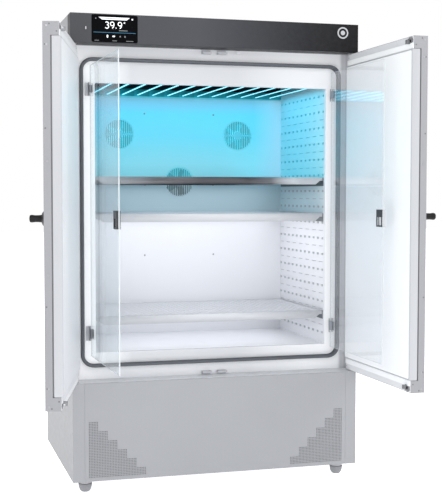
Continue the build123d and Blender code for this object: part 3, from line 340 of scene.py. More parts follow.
def duct_with_painted_light():
    """The air duct behind the side walls' holes, with the cyan light falling through them painted on as a
    teal colour and glow above the upper shelf, and a painted grey glow lower down.
    """
    shade = Shade("air_duct_steel_painted_light")
    # painted light: teal colour and glow above the upper shelf, a grey glow below it
    lit = shade.rise(shade.along("Z"), 1.240, 1.280)
    streak = shade.noise(1.0, 3.0, (260, 260, 6))
    shade.set(
        Base_Color=shade.tint(lit, (0.42, 0.44, 0.46), (0.16, 0.50, 0.55)),
        Roughness=shade.spread(streak, 0.45, 0.6),
        Emission_Color=shade.tint(lit, (0.13, 0.14, 0.15), (0.03, 0.20, 0.25)),
        Emission_Strength=0.6,
    )
    return shade.bump(streak, 0.1, 0.0003).material


def slats_with_painted_glow():
    """Louvre slats with the light of the strip on their lower edge painted on as colour and glow, dying away
    towards the upper edge.
    """
    shade = Shade("louvre_aluminium")
    # painted light: the strip's glow fades towards each slat's upper edge, the front and the right
    turns = shade.math("DIVIDE", shade.along("X"), SLAT_PITCH)
    across = shade.math("FRACT", shade.math("ADD", turns, SLAT_COUNT / 2))
    y = shade.along("Y")
    fading = shade.spread(y, 3.2, 0.7, -0.28, 0.20)
    glow = shade.math("POWER", shade.fall(across, 0.08, 1.0), fading)
    glow = shade.math("MULTIPLY", glow, shade.spread(y, 0.30, 1.0, -0.28, 0.20))
    glow = shade.math("MULTIPLY", glow, shade.spread(shade.along("X"), 1.0, 0.60, -0.4, 0.5))
    glow = shade.math("MAXIMUM", glow, shade.spread(y, 0.0, 0.55, 0.270, 0.277))
    glow = shade.math("MULTIPLY", glow, shade.rise(y, -0.297, -0.290))
    streak = shade.spread(shade.noise(1.0, 3.0, (260, 3, 260)), 0.85, 1.1)
    shade.set(
        Base_Color=shade.tint(glow, (0.01, 0.05, 0.08), (0.04, 0.42, 0.50)),
        Specular_IOR_Level=0.0,
        Roughness=0.7,
        Emission_Color=shade.tint(glow, (0.002, 0.02, 0.04), (0.03, 0.62, 0.75)),
        Emission_Strength=shade.math("MULTIPLY", streak, 0.18),
    )
    return shade.bump(streak, 0.05, 0.0002).material


def shelf_steel_with_painted_reflection():
    """Fine brushed stainless with a broad dark-to-bright band of painted reflection along its width, as a
    polished sheet shows.
    """
    shade = Shade("shelf_stainless_painted_reflection")
    # painted reflection: bright at both ends, dark in the middle
    stops = ((-0.512, (0.60, 0.61, 0.64)), (-0.257, (0.13, 0.13, 0.14)), (-0.055, (0.045, 0.045, 0.053)))
    stops += ((0.17, (0.045, 0.047, 0.053)), (0.27, (0.16, 0.165, 0.18)), (0.375, (0.90, 0.94, 0.97)))
    stops += ((0.512, (0.97, 0.98, 1.0)),)
    sweep = shade.ramp(shade.along("X"), stops)
    streak = shade.noise(1.0, 3.0, (12, 700, 700))
    shade.set(
        Base_Color=shade.tint(shade.spread(streak, 0.0, 0.08), sweep, (0.5, 0.5, 0.52)),
        Roughness=shade.spread(streak, 0.28, 0.36),
        Metallic=0.6,
    )
    return shade.bump(streak, 0.03, 0.0002).material


def fitting_with_painted_highlight():
    """Zinc-grey hinge clamps; the black finger grip is the part near mid height, with a painted highlight on
    its far plate on the right.
    """
    shade = Shade("glass_fitting_painted_highlight")
    z = shade.along("Z")
    grip = shade.math("MULTIPLY", shade.rise(z, 1.04, 1.05), shade.fall(z, 1.15, 1.16))
    # painted highlight: the right grip's far plate is light grey
    far_plate_painted_highlight = shade.rise(shade.along("X"), 0.5470, 0.5476)
    grip_tone = shade.tint(far_plate_painted_highlight, (0.018, 0.02, 0.024), (0.52, 0.53, 0.55))
    shade.set(
        Base_Color=shade.tint(grip, (0.21, 0.225, 0.25), grip_tone),
        Roughness=shade.spread(shade.noise(90.0, 3.0), 0.36, 0.5),
    )
    return shade.bump(shade.noise(700.0, 2.0), 0.12, 0.0003).material


def liner_with_painted_shade(name, low, high):
    """White moulded sheet of a door's inner face, with painted shade making it slightly duller towards the
    floor.
    """
    shade = Shade(name)
    # painted shade: darker towards the floor
    height = shade.ramp(shade.along("Z"), ((0.50, low), (1.35, high)))
    shade.set(
        Base_Color=shade.tint(shade.spread(shade.noise(5.0, 3.0), 0.0, 0.03), height, (0.6, 0.6, 0.61)),
        Roughness=shade.spread(shade.noise(30.0, 3.0), 0.48, 0.56),
        Specular_IOR_Level=0.3,
    )
    return shade.bump(shade.noise(500.0, 2.0), 0.02, 0.0003).material


def trim_finish():
    """Black rosette behind the knob; the thermal break round the liner is mid grey."""
    shade = Shade("door_trim_finish")
    x, z = shade.along("X"), shade.along("Z")
    beside_knob = shade.math("MULTIPLY", shade.rise(z, 1.050, 1.056), shade.fall(z, 1.160, 1.166))
    outer_face = shade.math("MAXIMUM", shade.rise(x, 0.655, 0.658), shade.fall(x, -0.795, -0.792))
    rosette = shade.math("MULTIPLY", beside_knob, outer_face)
    shade.set(
        Base_Color=shade.tint(rosette, (0.19, 0.193, 0.205), (0.010, 0.010, 0.011)),
        Roughness=shade.spread(shade.noise(90.0, 3.0), 0.36, 0.5),
    )
    return shade.bump(shade.noise(700.0, 2.0), 0.12, 0.0003).material


def frame_with_painted_light_and_shade():
    """White paint outside the gasket with painted light and shade along its width and a painted-shade grey
    strip at its right edge; inside the gasket a darker painted shade.
    """
    shade = Shade("frame_white_paint")
    x, z = shade.along("X"), shade.along("Z")
    away = shade.math("ABSOLUTE", x)
    outside = shade.rise(away, 0.570, 0.580)
    below = shade.fall(z, 0.462, 0.474)
    above = shade.rise(z, 1.756, 1.768)
    painted = shade.math("MAXIMUM", outside, shade.math("MAXIMUM", below, above))
    # painted light and shade: lighter at both sides, darker in the middle, grey at the right edge
    paint = ((-0.60, (0.96, 0.97, 0.99)), (-0.40, (0.76, 0.77, 0.80)), (0.15, (0.74, 0.75, 0.78)))
    paint += ((0.42, (0.95, 0.96, 0.98)), (0.580, (0.90, 0.91, 0.93)), (0.592, (0.50, 0.51, 0.54)))
    paint += ((0.606, (0.50, 0.51, 0.54)), (0.614, (0.36, 0.37, 0.40)), (0.630, (0.42, 0.43, 0.46)))
    side = shade.ramp(x, paint)
    # painted shade inside the gasket: darker in the middle, lighter towards the sides
    inside_gasket_painted_shade = ((-0.57, (0.95, 0.96, 0.98)), (-0.49, (0.88, 0.89, 0.91)), (-0.36, (0.56, 0.57, 0.595)))
    inside_gasket_painted_shade = shade.ramp(x, inside_gasket_painted_shade + ((0.1, (0.52, 0.53, 0.555)), (0.52, (0.80, 0.81, 0.83))))
    patch = shade.spread(shade.noise(5.0, 2.0), 0.0, 0.03)
    shade.set(
        Base_Color=shade.tint(patch, shade.tint(painted, inside_gasket_painted_shade, side), (0.6, 0.6, 0.6)),
        Roughness=shade.spread(shade.noise(40.0, 3.0), 0.34, 0.42),
    )
    return shade.bump(shade.noise(650.0, 2.0), 0.06, 0.0004).material


def painted_glow_behind_grilles(material, above, below, strength):
    """Painted glow behind the grilles: cyan above the upper shelf, grey under it, none further down."""
    shade = Shade.over(material)
    z = shade.along("Z")
    glow = shade.tint(shade.fall(z, *UPPER_SHELF), above, below)
    shade.set(Emission_Color=glow, Emission_Strength=shade.spread(z, 0.0, strength, 1.10, 1.18))


UPPER_SHELF = (1.240, 1.265)
FAN_CENTRES = ((-0.296, 1.481), (0.296, 1.481), (0.0, 1.253))
GRILLE_RADIUS, HUB_RADIUS = 0.0685, 0.022
SLAT_COUNT, SLAT_PITCH = 14, 0.074
fascia_paint = fascia_with_painted_reflection()
frame_paint = frame_with_painted_light_and_shade()
# painted light: a light grey for the base's top, lit from above
ledge_painted_light = coated("ledge_painted_light_white", (0.62, 0.63, 0.65), 0.4, peel=0.06)
# painted light: a lighter copy of the door grey for the rails' inner faces
rail_painted_light = coated("door_rail_painted_light", (0.64, 0.645, 0.665), 0.42, peel=0.06)
filter_grey = coated("grille_filter_grey", (0.11, 0.113, 0.118), 0.8, peel=0.8, mottle=0.05)
chamber_painted_light = chamber_enamel_with_painted_light()
baffle_painted_light = baffle_enamel_with_painted_light()
floor_white = coated("chamber_floor_enamel", (0.78, 0.79, 0.82), 0.42, peel=0.05)
ceiling_dark = coated("ceiling_in_shade", (0.008, 0.05, 0.085), 0.5, peel=0.05)
# painted shade: the liner tray's sides are darker than its white face
liner_side_painted_shade = coated("door_liner_side_painted_shade", (0.42, 0.43, 0.455), 0.35, peel=0.03)
# painted shade: the left door's liner is a darker copy of the right one's white
liner_painted_shades = {
    "left": liner_with_painted_shade("door_liner_white_left_painted_shade", (0.57, 0.575, 0.60), (0.68, 0.70, 0.72)),
    "right": liner_with_painted_shade("door_liner_white_right_painted_shade", (0.82, 0.83, 0.85), (0.88, 0.885, 0.89)),
}
display_glass = coated("display_black_glass", (0.003, 0.003, 0.004), 0.12, peel=0.0, mottle=0.2)
Shade.over(display_glass).set(Specular_IOR_Level=0.03)
dark_plastic = coated("port_grey_plastic", (0.03, 0.03, 0.034), 0.4, peel=0.2)
port_light = coated("port_contact_plate", (0.55, 0.55, 0.57), 0.35, peel=0.1)
badge_metal = brushed("badge_silver", (0.42, 0.43, 0.45), 0.45, (260, 3, 260))
zinc = spangled("rear_zinc_sheet", (0.30, 0.31, 0.325))
gasket_rubber = coated("gasket_rubber", (0.082, 0.090, 0.104), 0.6, peel=0.3)
foam = coated("insulation_foil", (0.40, 0.45, 0.47), 0.7, peel=0.6, mottle=0.06)
# painted light: the insulation foil glows where it shows behind the grilles
painted_glow_behind_grilles(foam, (0.07, 0.42, 0.50), (0.25, 0.31, 0.34), 0.9)
# the upper shelf's stainless carries a painted reflection
steel = shelf_steel_with_painted_reflection()
white_shelf = coated("shelf_white_coat", (0.54, 0.55, 0.58), 0.38, peel=0.08)
runner_steel = brushed("runner_steel", (0.22, 0.24, 0.25), 0.45, (260, 3, 260))
louvre_painted_glow = slats_with_painted_glow()
duct_painted_light = duct_with_painted_light()
latch_zinc = brushed("latch_zinc", (0.24, 0.245, 0.255), 0.4, (60, 60, 60), 0.05)
fitting = fitting_with_painted_highlight()
door_trim = trim_finish()
bracket_zinc = coated("strike_bracket_zinc", (0.50, 0.51, 0.54), 0.4, peel=0.1, mottle=0.03)
screw_dark = brushed("screw_dark_zinc", (0.16, 0.16, 0.17), 0.4, (200, 200, 200))
led_cyan = glowing("led_cyan_diffuser", (0.35, 0.88, 1.0), 1.2)
lamp_white = glowing("lamp_white_diffuser", (0.95, 0.97, 1.0), 0.55)
motor_black = coated("motor_black", (0.02, 0.02, 0.022), 0.5, peel=0.4)
coil_metal = brushed("coil_aluminium", (0.62, 0.63, 0.64), 0.4, (60, 60, 3))
screw_steel = brushed("screw_steel", (0.35, 0.35, 0.37), 0.35, (200, 200, 200))
fan_plastic = coated("fan_grey_plastic", (0.16, 0.24, 0.26), 0.45, peel=0.3)
fan_lit = coated("fan_plastic_in_cyan_light", (0.34, 0.80, 0.84), 0.5, peel=0.3)
Shade.over(fan_lit).set(Emission_Color=(0.05, 0.36, 0.43), Emission_Strength=0.9)
painted_glow_behind_grilles(fan_plastic, (0.05, 0.34, 0.40), (0.17, 0.22, 0.24), 0.8)
foot_plastic = coated("foot_grey_plastic", (0.21, 0.215, 0.23), 0.42, peel=0.25)
knob_plastic = coated("knob_black_plastic", (0.006, 0.006, 0.007), 0.4, peel=0.15)
Shade.over(knob_plastic).set(Specular_IOR_Level=0.2)
hinge_grey = brushed("hinge_grey_zinc", (0.42, 0.43, 0.46), 0.42, (200, 200, 20), 0.1, 0.7)
clear = {
    "left": clear_glass("pane_clear_glass_left", (0.95, 0.97, 0.975), 0.08, 0.05, 8.0),
    "right": clear_glass("pane_clear_glass_right", (0.98, 0.985, 0.99), 0.04, 0.05, 5.5),
}
glass_edge = coated("pane_ground_edge", (0.56, 0.60, 0.62), 0.3, peel=0.5, coat=0.2)
compressor_black = coated("compressor_black_enamel", (0.015, 0.015, 0.017), 0.32, peel=0.3)

NODE_LOOKS = {
    cabinet_paint: ("side_panels", "header_hood", "base_casing", "service_panel", "underside_plate"),
    fascia_paint: ("header_fascia",),
    badge_metal: ("header_badge",),
    motor_black: ("mains_inlet",),
    fan_lit: ("fan_rotor_left", "fan_rotor_right", "fan_motors"),
    fan_plastic: ("fan_rotor_middle", "condenser_fan_rotor"),
    frame_paint: ("front_frame", "door_sensor_tab"),
    bracket_zinc: ("strike_brackets",),
    ceiling_dark: ("chamber_ceiling",),
    baffle_painted_light: ("rear_baffle",),
    foam: ("insulation",),
    floor_white: ("chamber_floor",),
    led_cyan: ("led_bars",),
    coil_metal: ("evaporator_coil", "condenser_unit"),
    runner_steel: ("shelf_runners",),
    compressor_black: ("compressor",),
    hinge_grey: ("door_hinge_pins", "glass_hinge_leaves"),
    lamp_white: ("shelf_light_panel",),
    louvre_painted_glow: ("light_louvre",),
    door_paint: ("left_door_shell", "right_door_shell"),
    screw_steel: ("left_door_screws", "right_door_screws"),
    latch_zinc: ("left_latch_top", "left_latch_bottom", "right_latch_top", "right_latch_bottom"),
    knob_plastic: ("left_knob", "right_knob"),
    door_trim: ("left_door_trim", "right_door_trim"),
    fitting: ("left_glass_fittings", "right_glass_fittings"),
}
BEVELLED = {
    0.5: ("glass_hinge_leaves", "shelf_runners"),
    0.6: ("side_panels", "service_panel", "strike_brackets", "door_sensor_tab"),
    0.7: ("header_hood", "base_casing", "front_frame", "mains_inlet", "left_door_shell", "right_door_shell"),
    0.8: ("left_glass_fittings", "right_glass_fittings"),
    2.0: ("led_bars",),
}
for material, names in NODE_LOOKS.items():
    for name in names:
        mesh = nodes[name].data
        mesh.materials.clear()
        mesh.materials.append(material)


def bevel(piece, width):
    rounding = piece.modifiers.new("rounded edges", "BEVEL")
    rounding.width = width * MM
    rounding.segments = 2
    rounding.limit_method = "ANGLE"
    rounding.angle_limit = math.radians(40)
    rounding.harden_normals = True


for width, names in BEVELLED.items():
    for name in names:
        bevel(nodes[name], width)


# ---------------- mesh making, in the CAD's millimetres
WELD_DISTANCE = 0.01
TIP = 0.01  # the radius that closes a turned shape on its axis


class Form:
    """Points and faces of a piece under construction; marks name each face's material."""

    def __init__(self):
        self.points, self.faces, self.marks = [], [], []

    def add(self, points, faces, mark=0):
        start = len(self.points)
        self.points += [tuple(point) for point in points]
        self.faces += [tuple(start + index for index in face) for face in faces]
        self.marks += [mark] * len(faces)

    def block(self, x0, x1, y0, y1, z0, z1):
        points = [(x, y, z) for x in (x0, x1) for y in (y0, y1) for z in (z0, z1)]
        faces = ((0, 1, 3, 2), (4, 6, 7, 5), (0, 4, 5, 1), (2, 3, 7, 6), (0, 2, 6, 4), (1, 5, 7, 3))
        self.add(points, faces)

    def loft(self, rings, closed=False, mark=0):
        """Skin through rings of equally many points, each ring closed."""
        count = len(rings[0])
        points = [point for ring in rings for point in ring]
        faces = []
        spans = len(rings) if closed else len(rings) - 1
        for ring in range(spans):
            here, there = ring * count, (ring + 1) % len(rings) * count
            for index in range(count):
                after = (index + 1) % count
                faces.append((here + index, here + after, there + after, there + index))
        if not closed:
            faces.append(tuple(range(count - 1, -1, -1)))
            faces.append(tuple(len(points) - count + index for index in range(count)))
        self.add(points, faces, mark)

    def lathe(self, profile, segments, frame_of, mark=0):
        """Turn (radius, height) points about an axis; frame_of maps (a, b, height) to a point."""
        rings = []
        for radius, height in profile:
            ring = []
            for step in range(segments):
                angle = 2 * math.pi * step / segments
                ring.append(frame_of(radius * math.cos(angle), radius * math.sin(angle), height))
            rings.append(ring)
        self.loft(rings, mark=mark)

    def sheet(self, outline, holes, lift):
        """A flat face with holes; lift maps plane (u, v) to a point."""
        work = bmesh.new()
        edges = []
        for loop in [outline] + holes:
            corners = [work.verts.new((u, v, 0)) for u, v in loop]
            for index, corner in enumerate(corners):
                edges.append(work.edges.new((corner, corners[(index + 1) % len(corners)])))
        bmesh.ops.triangle_fill(work, use_beauty=True, use_dissolve=False, edges=edges)
        work.verts.index_update()
        points = [lift(vertex.co.x, vertex.co.y) for vertex in work.verts]
        faces = [[vertex.index for vertex in face.verts] for face in work.faces]
        work.free()
        self.add(points, faces)

    def finish(self, name, body, materials, replaces=(), place=None, outward=True):
        """Make the object, put it on its body, and let it stand for CAD nodes."""
        points = [place(point) for point in self.points] if place else self.points
        mesh = bpy.data.meshes.new(name)
        mesh.from_pydata([Vector(point) * MM for point in points], [], self.faces)
        for material in materials:
            mesh.materials.append(material)
        for face, mark in zip(mesh.polygons, self.marks):
            face.material_index = mark
        work = bmesh.new()
        work.from_mesh(mesh)
        bmesh.ops.remove_doubles(work, verts=work.verts, dist=WELD_DISTANCE * MM)
        if outward:
            bmesh.ops.recalc_face_normals(work, faces=work.faces)
        work.to_mesh(mesh)
        work.free()
        piece = bpy.data.objects.new(name, mesh)
        bpy.context.scene.collection.objects.link(piece)
        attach(piece, body)
        if replaces:
            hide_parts(*replaces)
        return piece


def smooth(piece, angle=35.0):
    """Smooth shading broken at edges sharper than angle."""
    mesh = piece.data
    mesh.shade_smooth()
    work = bmesh.new()
    work.from_mesh(mesh)
    limit = math.radians(angle)
    for edge in work.edges:
        edge.smooth = len(edge.link_faces) != 2 or edge.calc_face_angle(0.0) < limit
    work.to_mesh(mesh)
    work.free()
    return piece


def thicken(piece, thickness):
    """Give a flat sheet its thickness, half to each side."""
    solid = piece.modifiers.new("sheet thickness", "SOLIDIFY")
    solid.thickness = thickness * MM
    solid.offset = 0.0
    return piece


def head_profile(radius, rim, crown, top):
    """A domed screw head as (radius, height), sunk a little into its plate."""
    return (TIP, -0.2), (radius, -0.2), (radius, rim), (radius * 0.7, crown), (TIP, top)


def oblong(u, v, half_straight, radius, points=12):
    """A hole outline lengthened along u."""
    loop = []
    for step in range(points):
        angle = 2 * math.pi * (step + 0.5) / points
        side = math.copysign(half_straight, math.cos(angle))
        loop.append((u + side + radius * math.cos(angle), v + radius * math.sin(angle)))
    return loop


def rounded_rectangle(u0, u1, v0, v1, radius, steps=6):
    loop = []
    corners = ((u1 - radius, v1 - radius), (u0 + radius, v1 - radius))
    corners += ((u0 + radius, v0 + radius), (u1 - radius, v0 + radius))
    for quarter, (u, v) in enumerate(corners):
        for step in range(steps + 1):
            angle = math.radians(90 * (quarter + step / steps))
            loop.append((u + radius * math.cos(angle), v + radius * math.sin(angle)))
    return loop


def extent(name):
    """A CAD node's box in millimetres."""
    low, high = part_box(name)
    return low / MM, high / MM


# ---------------- door gasket
low, high = extent("door_gasket")
GASKET_BAND, GASKET_CORNER = 20.0, 57.0
GASKET_PROFILE = (
    (-8, 0), (-8, 2), (-4, 3.5), (-6, 8), (-3.5, 12), (-5.6, 15.5), (-6, 20), (-5, 23.4), (-2.5, 25),
    (2.5, 25), (5, 23.4), (6, 20), (5.6, 15.5), (3.5, 12), (6, 8), (4, 3.5), (8, 2), (8, 0),
)
middle = GASKET_BAND / 2
corner = GASKET_CORNER - middle
rings = []
centres = ((high.x - GASKET_CORNER, high.z - GASKET_CORNER), (low.x + GASKET_CORNER, high.z - GASKET_CORNER))
centres += ((low.x + GASKET_CORNER, low.z + GASKET_CORNER), (high.x - GASKET_CORNER, low.z + GASKET_CORNER))
for quarter, (x, z) in enumerate(centres):
    for step in range(11):
        angle = math.radians(90 * (quarter + step / 10))
        across = math.cos(angle), math.sin(angle)
        rings.append(
            [
                (x + (corner + out) * across[0], high.y - depth, z + (corner + out) * across[1])
                for out, depth in GASKET_PROFILE
            ]
        )
gasket = Form()
gasket.loft(rings, closed=True)
smooth(gasket.finish("gasket_bellows", "cabinet", [gasket_rubber], ["door_gasket"]), 50)

# ---------------- perforated side liners
low, high = extent("chamber_side_liners")
HOLE_ROWS, HOLE_PITCH, HOLE_LOW = 16, 70.7, 573.0
HOLES_IN_ROW, HOLE_FRONT, HOLE_REAR = 11, -288.0, 268.0
SLOTS_IN_ROW, SLOT_FRONT, SLOT_REAR = 7, -268.0, 250.0
SLOT_HALF, SLOT_RADIUS, HOLE_HALF, HOLE_RADIUS = 23.0, 1.5, 8.4, 5.2
LINER_X, LINER_THICKNESS = 520.0, 2.0
DUCT_INNER, DUCT_OUTER, DUCT_Y, DUCT_Z = 523.0, 526.0, (-303, 283), (530, 1742)
strips = [(low.z, HOLE_LOW - HOLE_PITCH / 4, [])]
for row in range(HOLE_ROWS):
    z = HOLE_LOW + row * HOLE_PITCH
    holes = []
    for index in range(HOLES_IN_ROW):
        y = HOLE_FRONT + (HOLE_REAR - HOLE_FRONT) * index / (HOLES_IN_ROW - 1)
        holes.append(oblong(y, z, HOLE_HALF, HOLE_RADIUS))
    strips.append((z - HOLE_PITCH / 4, z + HOLE_PITCH / 4, holes))
    if row < HOLE_ROWS - 1:
        slots = []
        for index in range(SLOTS_IN_ROW):
            y = SLOT_FRONT + (SLOT_REAR - SLOT_FRONT) * index / (SLOTS_IN_ROW - 1)
            slots.append(oblong(y, z + HOLE_PITCH / 2, SLOT_HALF, SLOT_RADIUS))
        strips.append((z + HOLE_PITCH / 4, z + 3 * HOLE_PITCH / 4, slots))
strips.append((strips[-1][1], high.z, []))
liners = Form()
for side in (-1, 1):
    for strip_low, strip_high, holes in strips:
        outline = [(low.y, strip_low), (high.y, strip_low), (high.y, strip_high), (low.y, strip_high)]
        liners.sheet(outline, holes, lambda u, v, side=side: (side * LINER_X, u, v))
name, looks, stands_for = "side_liners_perforated", [chamber_painted_light], ["chamber_side_liners"]
thicken(liners.finish(name, "cabinet", looks, stands_for, outward=False), LINER_THICKNESS)
backing = Form()
for side in (-1, 1):
    backing.block(side * DUCT_INNER, side * DUCT_OUTER, *DUCT_Y, *DUCT_Z)
bevel(backing.finish("liner_air_duct_backing", "cabinet", [duct_painted_light]), 0.5)

# ---------------- shelves
SHELF_FRONT, SHELF_REAR, SHELF_HALF = -302.0, 264.0, 512.0
SHELF_THICKNESS, SHELF_BEND = 1.5, 2.0
PERFORATION_PITCH, PERFORATION_RADIUS, HONEYCOMB_RISE = 26.0, 5.0, 0.866


def flange_outline(low_z, high_z):
    """A shelf's folded edge, cut back towards its lower corners."""
    cut = low_z + 0.53 * (high_z - low_z)
    right = [(SHELF_HALF, high_z - 2), (SHELF_HALF, cut), (499, cut), (479, low_z)]
    return right + [(-x, z) for x, z in reversed(right)]


def shelf(name, material, perforated):
    """A sheet folded down at the front and the rear."""
    low, high = extent(name)
    half_sheet = SHELF_THICKNESS / 2
    deck_z = high.z - half_sheet
    front, rear = SHELF_FRONT + half_sheet, SHELF_REAR - half_sheet
    holes = []
    if perforated:
        row, y = 0, SHELF_FRONT + 40
        while y < SHELF_REAR - 30:
            x = -470 + (row % 2) * PERFORATION_PITCH / 2
            while x < 472:
                holes.append(oblong(x, y, 0, PERFORATION_RADIUS, 8))
                x += PERFORATION_PITCH
            row += 1
            y += PERFORATION_PITCH * HONEYCOMB_RISE
    form = Form()
    outline = [(-SHELF_HALF, front + SHELF_BEND), (SHELF_HALF, front + SHELF_BEND)]
    outline += [(SHELF_HALF, rear - SHELF_BEND), (-SHELF_HALF, rear - SHELF_BEND)]
    form.sheet(outline, holes, lambda u, v: (u, v, deck_z))
    for y_face, inward in ((front, 1), (rear, -1)):
        arcs = []
        for step in range(5):
            angle = math.radians(90 * step / 4)
            y = y_face + inward * SHELF_BEND * (1 - math.sin(angle))
            z = deck_z - SHELF_BEND * (1 - math.cos(angle))
            arcs.append([(-SHELF_HALF, y, z), (SHELF_HALF, y, z)])
        for first, second in zip(arcs, arcs[1:]):
            form.add(first + second[::-1], [(0, 1, 2, 3)])
        form.sheet(flange_outline(low.z, deck_z), [], lambda u, v, y=y_face: (u, y, v))
    piece = form.finish(name + "_sheet", name, [material], [name])
    smooth(thicken(piece, SHELF_THICKNESS))


shelf("shelf_upper", steel, False)
shelf("shelf_middle", white_shelf, False)
shelf("shelf_lower", white_shelf, True)

# ---------------- air grilles
low, high = extent("air_grilles")
GRILLE_COLUMN, GRILLE_COLUMNS, GRILLE_STEP, GRILLE_PITCH = 40.5, 6, 40.0, 6.75
GRILLE_HOLE, GRILLE_THICKNESS = 2.1, 1.0
for side in (-1, 1):
    outer, tall = high.x, high.z
    outline = [(outer, low.z), (outer - GRILLE_COLUMNS * GRILLE_COLUMN, low.z)]
    for column in range(GRILLE_COLUMNS - 1, -1, -1):
        top = tall - column * GRILLE_STEP
        outline += [(outer - (column + 1) * GRILLE_COLUMN, top), (outer - column * GRILLE_COLUMN, top)]
    holes = []
    for column in range(GRILLE_COLUMNS):
        top = tall - column * GRILLE_STEP
        for across in range(6):
            x = outer - column * GRILLE_COLUMN - (across + 0.5) * GRILLE_PITCH
            rows = int((top - low.z - 4) / GRILLE_PITCH)
            for row in range(rows):
                holes.append(oblong(x, low.z + 2 + (row + 0.5) * GRILLE_PITCH, 0, GRILLE_HOLE, 8))
    grille = Form()
    y_middle = (low.y + high.y) / 2
    grille.sheet(outline, holes, lambda u, v, side=side: (side * u, y_middle, v))
    name = "air_grille_left" if side < 0 else "air_grille_right"
    piece = grille.finish(name, "cabinet", [cabinet_paint], ["air_grilles"])
    thicken(piece, GRILLE_THICKNESS)

    cover = Form()
    steps = [(side * u, y_middle + 3.5, v) for u, v in outline]
    cover.loft([steps, [(x, y + 2.5, z) for x, y, z in steps]])
    cover.finish(name.replace("grille", "filter"), "cabinet", [filter_grey])

# ---------------- ledge under the doors: a light plate standing for painted light on the base's top
LEDGE_X, LEDGE_Y, LEDGE_Z = (-629, 629), (-415, -325), (412.9, 413.7)
ledge = Form()
ledge.block(*LEDGE_X, *LEDGE_Y, *LEDGE_Z)
bevel(ledge.finish("base_ledge_plate", "cabinet", [ledge_painted_light]), 0.3)

# ---------------- levelling feet
FOOT_PROFILE = (
    (TIP, -57.3), (14, -57.3), (17, -56.2), (21, -52), (24.4, -45.5), (27.0, -37), (28.6, -29), (29, -23),
    (28.6, -21.4), (25.5, -20.8), (25.5, -14.6), (28.0, -14.0), (28.6, -13.2), (28.6, -12.0), (28.2, -11.3),
    (27, -11), (14, -11), (14, -1.2), (13.4, -0.8), (6, -0.8), (6, 30), (TIP, 30),
)
for name in ("foot_front_left", "foot_front_right", "foot_rear_left", "foot_rear_right"):
    low, high = extent(name)
    centre = (low + high) / 2
    foot = Form()
    foot.lathe(FOOT_PROFILE[:9], 40, lambda a, b, h: (centre.x + a, centre.y + b, h))
    foot.lathe(FOOT_PROFILE[8:], 40, lambda a, b, h: (centre.x + a, centre.y + b, h), mark=1)
    piece = foot.finish(name + "_bowl", name, [foot_plastic, screw_steel], [name])
    smooth(piece, 30)

# ---------------- outer doors
DOOR_PIVOT, LEFT_DOOR_OPEN, RIGHT_DOOR_OPEN = (-622.0, -379.0), 104.4, 90.9
GLASS_PIVOT, LEFT_GLASS_OPEN, RIGHT_GLASS_OPEN = (-540.0, -334.0), 88.2, 90.75
DOOR_OUTER, DOOR_FREE, DOOR_MIDDLE = -630.0, -1.5, 1111.5
LINER_LOW, LINER_HIGH, RAIL_Y = 466.5, 1756.5, -358.0
LINER_STEPS = ((0.0, -382.9, 3.0), (0.0, -355.5, 3.0), (0.9, -352.9, 3.5), (2.6, -351.0, 4.5))
LINER_STEPS += ((5.2, -350.1, 6.0), (6.5, -350.0, 7.0))
THERMAL_BREAKS = ((1757, 1779), (444, 466))
RAILS = ((418.5, 443.5), (1779.5, 1804.5))
RAIL_SCREWS = ((-12, 1790, 2.6), (-46, 1800, 2.2), (-618, 1790, 2.6))
EDGE_SCREWS, EDGE_SCREW_RADIUS = ((-392, 1797), (-366, 1771), (-408, 1725), (-408, 1430)), 3.0
LATCH_X, BOLT_ROOM = -34.5, 12.0
PANE_X, PANE_Y, PANE_Z = (-534, -2), (-334, -329), (515, 1730)
LARGE_FACE = 0.1  # square metres: a pane's two big faces, not its ground edges


def swung(side, pivot, angle):
    """Where a point drawn on the closed left-hand door goes."""
    flip = -1 if side == "right" else 1
    turn = -flip * math.radians(angle)
    across, along = flip * pivot[0], pivot[1]
    cosine, sine = math.cos(turn), math.sin(turn)

    def place(point):
        x, y = flip * point[0] - across, point[1] - along
        return across + cosine * x - sine * y, along + sine * x + cosine * y, point[2]

    return place


def liner_ring(inset, y, radius):
    """One outline of the closed door's inner tray."""
    across, up = (DOOR_OUTER + inset, DOOR_FREE - inset), (LINER_LOW + inset, LINER_HIGH - inset)
    return [(u, y, v) for u, v in rounded_rectangle(*across, *up, radius, 4)]


